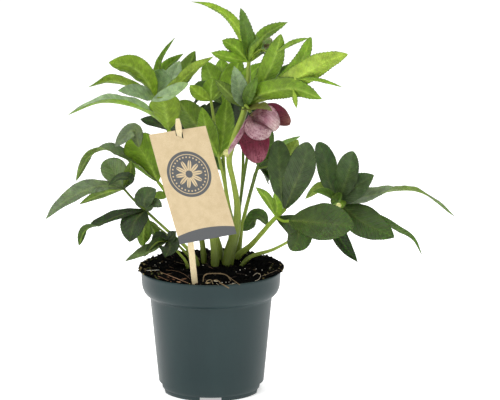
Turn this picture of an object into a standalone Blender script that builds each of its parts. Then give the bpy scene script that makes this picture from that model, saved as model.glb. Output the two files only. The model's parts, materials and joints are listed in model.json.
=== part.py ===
"""A flowering hellebore in its nursery pot, with the plant tag on a wooden stake.

Metres, +Z up. The origin is on the ground at the pot's axis. The reference view looks along +Y with
+X to the right, and a place in it is given by spot(across, down, depth): the pixel where it is seen in
the 500 x 400 picture, and how many millimetres it lies behind the pot's axis.
"""
import math
import random

import bmesh
import bpy
from mathutils import Matrix, Vector, noise

MM = 0.001

# The eye of the reference view.
EYE = Vector((36.5, -2000.0, 585.0)) * MM
EYE_PITCH = math.radians(11.42)
EYE_FOCAL_PIXELS = 2194.0
PICTURE_CENTRE = (250.0, 200.0)

# Nursery pot, 13 cm across the rim.
POT_HEIGHT = 115.0
RIM_RADIUS = 65.5
RIM_BAND_HEIGHT = 15.0
RIM_THICKNESS = 2.2
SHOULDER_HEIGHT = 91.0
WALL_TOP_RADIUS = 57.3
WALL_FOOT_RADIUS = 49.6
WALL_THICKNESS = 1.7
FOOT_RADIUS = 46.4
FOOT_BAND_HEIGHT = 3.6
FLOOR_PAD_RADIUS = 33.0
FLOOR_RAISE = 10.2
TURN_STEPS = 36
SIDE_NOTCH_HALF_ANGLE = math.radians(24)
SIDE_NOTCH_HEIGHT = 9.0
FRONT_NOTCH_WIDTH = 20.0
FRONT_NOTCH_HEIGHT = 3.8
NOTCH_REACH = 14.0

# Soil, heaped towards the back and spilling over the rim at both sides. Angles are in degrees round
# the pot from the side that faces the viewer.
SOIL_FRONT_HEIGHT = 113.4
SOIL_LIP_HEIGHT = 117.0
SOIL_MOUND_HEIGHT = 122.5
SOIL_BACK_RISE = 3.5
SOIL_SPILL = 5.0
SOIL_BACK_SPILL = 2.2
SOIL_RELIEF = 1.7
SOIL_CLEARANCE = 0.7
SOIL_RISE_ANGLES = (22, 50)
SOIL_SPILL_ANGLES = (55, 78)
SOIL_BACK_ANGLES = (112, 150)
SOIL_TOP_RINGS = (9, 18, 27, 36, 46, 55)
HOLE_CLEARANCE = 0.5
HOLE_EXTRA_DEPTH = 1.2

# Stake and tag.
STAKE_WIDTH = 5.6
STAKE_THICKNESS = 2.4
STAKE_BURIED = 30.0
STAKE_EDGE = 0.6
TAG_WIDTH = 57.0
TAG_HEIGHT = 103.5
TAG_THICKNESS = 0.9
TAG_HOLE_CLEARANCE = 0.45

# Stems and blades.
STALK_BURIED = 15.0
STALK_STEP = 24.0
BLADE_THICKNESS = 0.85
BLADE_FOLD = math.radians(17)
BLADE_BASE_WIDTH = 2.4
BLADE_WAVE = 0.5
TOOTH = 0.11
TIP_CROWDING = 1.35
SHORT_ROWS = 4
LONG_ROWS = 8

SCRAP_SHARE = 0.02
SMOOTH_ANGLE = math.radians(38)


def srgb(red, green, blue):
    """Linear colour from 0 to 255 screen values."""
    return tuple(((value / 255 + 0.055) / 1.055) ** 2.4 for value in (red, green, blue)) + (1.0,)


POT_GREEN = srgb(64, 77, 76)
SOIL_BLACK = srgb(30, 26, 23)
WOOD = srgb(232, 214, 168)
KRAFT = srgb(222, 198, 158)
YOUNG_GREEN = srgb(124, 158, 60)
STEM_GREEN = srgb(140, 165, 75)
MID_GREEN = srgb(92, 128, 62)
GREY_GREEN = srgb(84, 108, 82)
DARK_GREEN = srgb(58, 84, 52)
SEPAL_ROSE = srgb(140, 82, 104)
STAMEN_CREAM = srgb(222, 214, 160)


def spot(across, down, depth):
    """The point seen at a pixel of the reference view, `depth` mm behind the pot's axis."""
    right = Vector((1, 0, 0))
    forward = Vector((0, math.cos(EYE_PITCH), -math.sin(EYE_PITCH)))
    up = Vector((0, math.sin(EYE_PITCH), math.cos(EYE_PITCH)))
    ray = forward * EYE_FOCAL_PIXELS
    ray += right * (across - PICTURE_CENTRE[0]) + up * (PICTURE_CENTRE[1] - down)
    return EYE + ray * ((depth * MM - EYE.y) / ray.y)


def mix(low, high, share):
    """The value `share` of the way from low to high."""
    return low + (high - low) * share


def smoothstep(low, high, value):
    """0 below `low`, 1 above `high`, smooth between them."""
    share = min(max((value - low) / (high - low), 0.0), 1.0)
    return share * share * (3 - 2 * share)


def along(values, place):
    """A value read from a list, one for each point of a path, or the same value all along it."""
    if isinstance(values, (int, float)):
        return values
    index = min(int(place), len(values) - 2)
    return mix(values[index], values[index + 1], place - index)


def smooth_path(points, shares):
    """The points at the given shares of the length of a smooth curve, each with its place in `points`."""
    ends = [points[0] * 2 - points[1]] + list(points) + [points[-1] * 2 - points[-2]]
    steps_per_span = 16
    dense = []
    for span in range(len(points) - 1):
        a, b, c, d = ends[span:span + 4]
        for step in range(steps_per_span):
            t = step / steps_per_span
            bend = (a * -1 + b * 3 - c * 3 + d) * t ** 3 + (a * 2 - b * 5 + c * 4 - d) * t ** 2
            dense.append((b + (bend + (c - a) * t) * 0.5, span + t))
    dense.append((points[-1], len(points) - 1))
    lengths = [0.0]
    for (start, _), (end, _) in zip(dense, dense[1:]):
        lengths.append(lengths[-1] + (end - start).length)
    places = []
    segment = 0
    for share in shares:
        target = lengths[-1] * share
        while segment < len(dense) - 2 and lengths[segment + 1] < target:
            segment += 1
        part = (target - lengths[segment]) / (lengths[segment + 1] - lengths[segment])
        part = min(max(part, 0.0), 1.0)
        (start, start_place), (end, end_place) = dense[segment], dense[segment + 1]
        places.append((start.lerp(end, part), mix(start_place, end_place, part)))
    return places


def new_object(name, mesh):
    """An object in the scene's own collection."""
    piece = bpy.data.objects.new(name, mesh)
    bpy.context.scene.collection.objects.link(piece)
    return piece


def applied(piece):
    """Replaces an object by one that holds its evaluated mesh, without modifiers."""
    bpy.context.view_layer.update()
    evaluated = piece.evaluated_get(bpy.context.evaluated_depsgraph_get())
    mesh = bpy.data.meshes.new_from_object(evaluated)
    name = piece.name
    bpy.data.objects.remove(piece)
    return new_object(name, mesh)


def tidy_mesh(mesh):
    """Welds coincident points and turns all faces outwards."""
    cage = bmesh.new()
    cage.from_mesh(mesh)
    bmesh.ops.remove_doubles(cage, verts=cage.verts, dist=0.02 * MM)
    bmesh.ops.recalc_face_normals(cage, faces=cage.faces)
    cage.to_mesh(mesh)
    cage.free()


def smooth_line(points, radii, segments):
    """Evenly spaced (position, radius) pairs on a smooth curve through `points`."""
    places = smooth_path(points, [index / segments for index in range(segments + 1)])
    return [(position, along(radii, place)) for position, place in places]


def tube(line, sides=6):
    """A stalk along a line of (position in metres, radius in mm) pairs."""
    curve = bpy.data.curves.new("stalk", "CURVE")
    curve.dimensions = "3D"
    curve.bevel_depth = MM
    curve.bevel_resolution = (sides - 4) // 2
    curve.use_fill_caps = True
    spline = curve.splines.new("POLY")
    spline.points.add(len(line) - 1)
    for target, (position, radius) in zip(spline.points, line):
        target.co = (*position, 1)
        target.radius = radius
    stalk = applied(new_object("stalk", curve))
    tidy_mesh(stalk.data)
    return stalk


def ball(radius, matrix, rings=6, sides=8):
    """A sphere of radius mm in a frame that may stretch it."""
    cage = bmesh.new()
    bmesh.ops.create_uvsphere(cage, u_segments=sides, v_segments=rings, radius=radius * MM)
    cage.transform(matrix)
    mesh = bpy.data.meshes.new("ball")
    cage.to_mesh(mesh)
    cage.free()
    return new_object("ball", mesh)


def box(name, size, matrix):
    """A box of `size` mm, placed by a matrix."""
    cage = bmesh.new()
    bmesh.ops.create_cube(cage, size=MM, matrix=Matrix.Diagonal((*size, 1)))
    cage.transform(matrix)
    mesh = bpy.data.meshes.new(name)
    cage.to_mesh(mesh)
    cage.free()
    return new_object(name, mesh)


def width_share(t, peak, fullness):
    """The share of a blade's full width at t along it, widest at `peak`."""
    return math.sin(math.pi * t ** (math.log(0.5) / math.log(peak))) ** fullness


def blade(path, width, turn, rows=6, peak=0.5, fullness=0.9, fold=BLADE_FOLD, tooth=TOOTH,
          base_width=BLADE_BASE_WIDTH, columns=2, wave=BLADE_WAVE):
    """A leaflet or sepal: a thin folded surface along `path`, made solid.

    `turn` is the roll in degrees of the upper face about the midrib: 0 looks at the viewer, 90 up and
    180 away, so that the underside shows. It is one number, or one for each point of the path.
    """
    points = [spot(*point) for point in path]
    shares = [1 - (1 - row / rows) ** TIP_CROWDING for row in range(rows + 1)]
    places = smooth_path(points, shares)
    side_sign = 1.0 if points[-1].x < points[0].x else -1.0
    cage = bmesh.new()
    lines = []
    for row, (position, place) in enumerate(places):
        before = places[max(row - 1, 0)][0]
        after = places[min(row + 1, rows)][0]
        tangent = (after - before).normalized()
        to_eye = (EYE - position).normalized()
        to_eye = (to_eye - tangent * to_eye.dot(tangent)).normalized()
        skyward = tangent.cross(to_eye) * side_sign
        roll = math.radians(along(turn, place))
        upper = to_eye * math.cos(roll) + skyward * math.sin(roll)
        side = tangent.cross(upper)
        if row == rows:
            lines.append([cage.verts.new(position)])
            continue
        t = shares[row]
        half = width / 2 * width_share(t, peak, fullness) if row else 0.0
        half = max(half, base_width / 2 * (1 - t)) * MM
        has_tooth = row % 2 == 1 and row > 1
        reach = half * (1 + tooth if has_tooth else 1 - tooth / 2)
        forward = tangent * (reach * tooth * 1.6 if has_tooth else 0.0)
        ripple = upper * (wave * MM * math.sin(5.5 * t * math.pi) * min(1.0, half / (4 * MM)))
        line = []
        for column in range(-columns // 2, columns // 2 + 1):
            share = column / (columns / 2)
            rise = math.sin(fold) * abs(share) ** (1.0 if columns == 2 else 1.7)
            offset = side * (reach * share * math.cos(fold)) + upper * (reach * rise)
            line.append(cage.verts.new(position + offset + (forward + ripple * share) * share ** 2))
        lines.append(line)
    for near, far in zip(lines, lines[1:]):
        for column in range(len(near) - 1):
            if len(far) == 1:
                cage.faces.new((near[column], near[column + 1], far[0]))
            elif column < (len(near) - 1) / 2:
                cage.faces.new((near[column], near[column + 1], far[column + 1]))
                cage.faces.new((near[column], far[column + 1], far[column]))
            else:
                cage.faces.new((near[column], near[column + 1], far[column]))
                cage.faces.new((near[column + 1], far[column + 1], far[column]))
    mesh = bpy.data.meshes.new("blade")
    cage.to_mesh(mesh)
    cage.free()
    leaflet = new_object("blade", mesh)
    shell = leaflet.modifiers.new("thickness", "SOLIDIFY")
    shell.thickness = BLADE_THICKNESS * MM
    shell.offset = 0.0
    leaflet = applied(leaflet)
    tidy_mesh(leaflet.data)
    return leaflet


def material(name, colour, roughness):
    """A Principled material."""
    finish = bpy.data.materials.new(name)
    finish.use_nodes = True
    shader = finish.node_tree.nodes["Principled BSDF"]
    shader.inputs["Base Color"].default_value = colour
    shader.inputs["Roughness"].default_value = roughness
    shader.inputs["Metallic"].default_value = 0.0
    return finish


def finish_part(piece, name, colour, roughness):
    """Names a piece, gives it its own material and moves it to the plant's collection."""
    piece.name = name
    piece.data.name = name
    piece.data.shade_smooth()
    piece.data.set_sharp_from_angle(angle=SMOOTH_ANGLE)
    piece.data.materials.clear()
    piece.data.materials.append(material(name, colour, roughness))
    for collection in list(piece.users_collection):
        collection.objects.unlink(piece)
    bpy.data.collections["hellebore"].objects.link(piece)


def drop_scraps(mesh):
    """Drops the loose scraps and sealed hollows that a union can leave beside its main shell."""
    cage = bmesh.new()
    cage.from_mesh(mesh)
    total = sum(face.calc_area() for face in cage.faces)
    left = set(cage.faces)
    while left:
        shell = {left.pop()}
        fringe = list(shell)
        while fringe:
            for edge in fringe.pop().edges:
                for face in edge.link_faces:
                    if face in left:
                        left.remove(face)
                        shell.add(face)
                        fringe.append(face)
        if sum(face.calc_area() for face in shell) < total * SCRAP_SHARE:
            bmesh.ops.delete(cage, geom=list(shell), context="FACES")
    cage.to_mesh(mesh)
    cage.free()


def fused(pieces):
    """One body from several that overlap."""
    body = pieces[0]
    others = bpy.data.collections.new("fuse")
    bpy.context.scene.collection.children.link(others)
    for piece in pieces[1:]:
        bpy.context.scene.collection.objects.unlink(piece)
        others.objects.link(piece)
    union = body.modifiers.new("fuse", "BOOLEAN")
    union.operation = "UNION"
    union.operand_type = "COLLECTION"
    union.collection = others
    union.solver = "MANIFOLD"
    body = applied(body)
    for piece in list(others.objects):
        bpy.data.objects.remove(piece)
    bpy.data.collections.remove(others)
    drop_scraps(body.data)
    return body


def cut(body, cutters):
    """Takes the cutters out of a body, and keeps them as wires in their own collection."""
    for cutter in cutters:
        for collection in list(cutter.users_collection):
            collection.objects.unlink(cutter)
        bpy.data.collections["cutters"].objects.link(cutter)
        cutter.hide_render = True
        cutter.display_type = "WIRE"
        hole = body.modifiers.new("cut", "BOOLEAN")
        hole.operation = "DIFFERENCE"
        hole.solver = "MANIFOLD"
        hole.object = cutter
    return applied(body)


def turned(name, profile):
    """A solid of revolution from (radius, height) pairs in mm, given down the outer side first."""
    cage = bmesh.new()
    points = [cage.verts.new((radius * MM, 0, height * MM)) for radius, height in profile]
    for start, end in zip(points, points[1:]):
        cage.edges.new((start, end))
    if profile[0][0] > 0:
        cage.edges.new((points[-1], points[0]))
    mesh = bpy.data.meshes.new(name)
    cage.to_mesh(mesh)
    cage.free()
    piece = new_object(name, mesh)
    screw = piece.modifiers.new("turn", "SCREW")
    screw.steps = TURN_STEPS
    screw.render_steps = TURN_STEPS
    screw.use_merge_vertices = True
    screw.merge_threshold = 0.05 * MM
    piece = applied(piece)
    tidy_mesh(piece.data)
    return piece


def make_pot():
    """The moulded pot: rim band, shoulder, tapered wall, notched foot and a pad under its floor."""
    band_foot = POT_HEIGHT - RIM_BAND_HEIGHT
    outside = [
        (RIM_RADIUS - 0.5, POT_HEIGHT),
        (RIM_RADIUS, POT_HEIGHT - 0.8),
        (RIM_RADIUS - 1.0, band_foot),
        (RIM_RADIUS - 2.6, band_foot - 4.5),
        (RIM_RADIUS - 5.6, SHOULDER_HEIGHT + 1.4),
        (WALL_TOP_RADIUS, SHOULDER_HEIGHT),
        (WALL_FOOT_RADIUS, SIDE_NOTCH_HEIGHT + 1.0),
        (FOOT_RADIUS + 1.2, FOOT_BAND_HEIGHT),
        (FOOT_RADIUS, 0.0),
    ]
    underneath = [
        (FOOT_RADIUS - WALL_THICKNESS, 0.0),
        (WALL_FOOT_RADIUS - WALL_THICKNESS - 0.4, FLOOR_RAISE - 1.0),
        (FLOOR_PAD_RADIUS + 8.0, FLOOR_RAISE - 0.2),
        (FLOOR_PAD_RADIUS, 0.0),
        (0.0, 0.0),
    ]
    inside = [
        (0.0, WALL_THICKNESS),
        (FLOOR_PAD_RADIUS - 0.8, WALL_THICKNESS),
        (FLOOR_PAD_RADIUS + 7.0, FLOOR_RAISE + 1.6),
        (WALL_FOOT_RADIUS - WALL_THICKNESS, FLOOR_RAISE + 1.8),
        (WALL_TOP_RADIUS - WALL_THICKNESS, SHOULDER_HEIGHT + 0.6),
        (RIM_RADIUS - 4.2, band_foot - 3.6),
        (RIM_RADIUS - RIM_THICKNESS - 0.5, band_foot + 0.4),
        (RIM_RADIUS - RIM_THICKNESS, POT_HEIGHT),
    ]
    pot = turned("pot", outside + underneath + inside)
    side_width = FOOT_RADIUS * math.sin(SIDE_NOTCH_HALF_ANGLE) * 2
    side_size = (NOTCH_REACH * 2, side_width, SIDE_NOTCH_HEIGHT * 2)
    front_size = (FRONT_NOTCH_WIDTH, NOTCH_REACH * 2, FRONT_NOTCH_HEIGHT * 2)
    notches = []
    for way in (-1, 1):
        place = way * WALL_FOOT_RADIUS * MM
        notches.append(box("side notch", side_size, Matrix.Translation((place, 0, 0))))
        notches.append(box("front notch", front_size, Matrix.Translation((0, place, 0))))
    finish_part(cut(pot, notches), "pot", POT_GREEN, 0.5)


def soil_place(ring, x, y, z):
    """Where a point of the soil belongs, in mm, given the ring of the profile that it lies on."""
    radius = math.hypot(x, y)
    from_front = math.degrees(math.atan2(abs(x), -y))
    raised = smoothstep(*SOIL_RISE_ANGLES, from_front)
    spill = SOIL_SPILL * smoothstep(*SOIL_SPILL_ANGLES, from_front)
    spill = mix(spill, SOIL_BACK_SPILL, smoothstep(*SOIL_BACK_ANGLES, from_front))
    crumb = noise.noise(Vector((x, y, z)) * 0.16) * 2 * SOIL_RELIEF
    crumb += noise.noise(Vector((x, y, z + 40)) * 0.45) * SOIL_RELIEF
    if ring == "top":
        edge = mix(SOIL_FRONT_HEIGHT, SOIL_LIP_HEIGHT, raised)
        height = mix(SOIL_MOUND_HEIGHT, edge, smoothstep(0.1, 1.0, radius / (RIM_RADIUS - 3)))
        return x, y, height + SOIL_BACK_RISE * smoothstep(-20, 55, y) + crumb
    if ring == "crest":
        outwards = spill * 0.5
        height = mix(SOIL_FRONT_HEIGHT + 0.4, SOIL_LIP_HEIGHT + 1.8 + abs(crumb), raised)
    elif ring == "edge":
        outwards = spill + max(crumb, 0.0) * 0.3 * raised
        height = mix(SOIL_FRONT_HEIGHT - 0.4, SOIL_LIP_HEIGHT + abs(crumb) * 0.4, raised)
    elif ring == "underside":
        outwards = spill * 0.8
        height = mix(SOIL_FRONT_HEIGHT - 1.8, POT_HEIGHT + 0.6, raised)
    else:
        outwards = 0.0
        height = mix(SOIL_FRONT_HEIGHT - 3.4, POT_HEIGHT + 0.5, raised)
    stretch = 1 + outwards / radius
    return x * stretch, y * stretch, height


def make_soil(cutters):
    """Peat that fills the pot, with a crumbly top, spilled edges, roots and a hole for each stem."""
    neck = RIM_RADIUS - RIM_THICKNESS - SOIL_CLEARANCE
    inset = WALL_THICKNESS + SOIL_CLEARANCE
    rings = [("top", radius, SOIL_MOUND_HEIGHT) for radius in (0.0,) + SOIL_TOP_RINGS]
    rings += [
        ("crest", neck - 2.6, SOIL_LIP_HEIGHT),
        ("edge", neck - 0.2, SOIL_LIP_HEIGHT - 0.6),
        ("underside", neck - 0.1, POT_HEIGHT + 0.6),
        ("throat", neck, POT_HEIGHT - 1.0),
    ]
    filling = [
        (neck - 0.6, POT_HEIGHT - RIM_BAND_HEIGHT + 0.6),
        (WALL_TOP_RADIUS - inset - 0.3, SHOULDER_HEIGHT + 1.0),
        (WALL_FOOT_RADIUS - inset, FLOOR_RAISE + 2.5),
        (FLOOR_PAD_RADIUS + 6.5, FLOOR_RAISE + 2.3),
        (FLOOR_PAD_RADIUS - 1.6, inset),
        (0.0, inset),
    ]
    soil = turned("soil", [(radius, height) for _, radius, height in rings] + filling)
    for vertex in soil.data.vertices:
        x, y, z = vertex.co / MM
        for ring, radius, height in rings:
            if math.hypot(math.hypot(x, y) - radius, z - height) < 0.05:
                vertex.co = Vector(soil_place(ring, x, y, z)) * MM
    roots = []
    for path, radius in ROOTS:
        roots.append(tube(smooth_line([spot(*point) for point in path], radius, 7), sides=4))
    finish_part(cut(fused([soil] + roots), cutters), "soil", SOIL_BLACK, 1.0)


# Roots that loop out of the soil at the front: path and radius in mm.
ROOTS = [
    (((203, 282, -52), (205, 275, -50), (215, 273.5, -50), (226, 275, -50), (231, 281, -52)), 0.8),
    (((209, 283, -53), (216, 280, -58), (222, 284, -63), (229, 288, -68)), 0.75),
]

# The stake, where it leaves the soil and at its top, and three corners of the tag.
STAKE_FOOT = (194.6, 281, -50)
STAKE_TIP = (177.6, 118.5, -58)
TAG_TOP_LEFT = (149, 134.7, -70)
TAG_TOP_RIGHT = (204.7, 125.9, -43)
TAG_BOTTOM_LEFT = (177.6, 243.2, -110)


def stake_box(name, grow=0.0):
    """The stake, or a cutter a little larger than it."""
    foot = spot(*STAKE_FOOT)
    up = spot(*STAKE_TIP) - foot
    length = up.length / MM
    up.normalize()
    across = Vector((1, 0.25, 0))
    across = (across - up * across.dot(up)).normalized()
    frame = Matrix((across, up.cross(across), up)).transposed().to_4x4()
    frame.translation = foot + up * ((length - STAKE_BURIED) / 2 * MM)
    height = length + STAKE_BURIED
    return box(name, (STAKE_WIDTH + grow * 2, STAKE_THICKNESS + grow * 2, height + grow * 2), frame)


def make_stake():
    """A flat stick of pale wood with eased edges."""
    stake = stake_box("stake")
    edges = stake.modifiers.new("edges", "BEVEL")
    edges.width = STAKE_EDGE * MM
    edges.segments = 1
    finish_part(applied(stake), "stake", WOOD, 0.7)


def make_tag():
    """The card that hangs on the stake, which passes through a hole near its top edge."""
    top_left = spot(*TAG_TOP_LEFT)
    across = (spot(*TAG_TOP_RIGHT) - top_left).normalized()
    down = spot(*TAG_BOTTOM_LEFT) - top_left
    down = (down - across * down.dot(across)).normalized()
    frame = Matrix((across, down * -1, across.cross(down * -1))).transposed().to_4x4()
    frame.translation = top_left + (across * TAG_WIDTH + down * TAG_HEIGHT) * (MM / 2)
    tag = box("tag", (TAG_WIDTH, TAG_HEIGHT, TAG_THICKNESS), frame)
    hole = stake_box("tag hole", TAG_HOLE_CLEARANCE)
    finish_part(cut(tag, [hole]), "tag", KRAFT, 0.8)


def leaf(*path, width, turn, start=None, **shape):
    """One leaflet: the places along its midrib after `start`, or after the top of its stem."""
    return {"path": path, "width": width, "turn": turn, "start": start, "shape": shape}


ROUND = {"fullness": 0.7}
BLUNT = {"fullness": 0.5, "peak": 0.62}
BLUNT_SHORT = {"fullness": 0.5, "peak": 0.62, "rows": SHORT_ROWS}
ROUND_SHORT = {"fullness": 0.7, "rows": SHORT_ROWS}
CHANNELLED = math.radians(35)

# Places where several leaflets spring from one point.
LOW_LEFT_FORK = (124, 189, -40)
RIGHT_FORK = (276, 217, -16)
CENTRE_FORK = (219, 158, 13)
FLOWER_FORK = (245, 108, -7)
TOP_FORK = (248.7, 62, -3)

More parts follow.
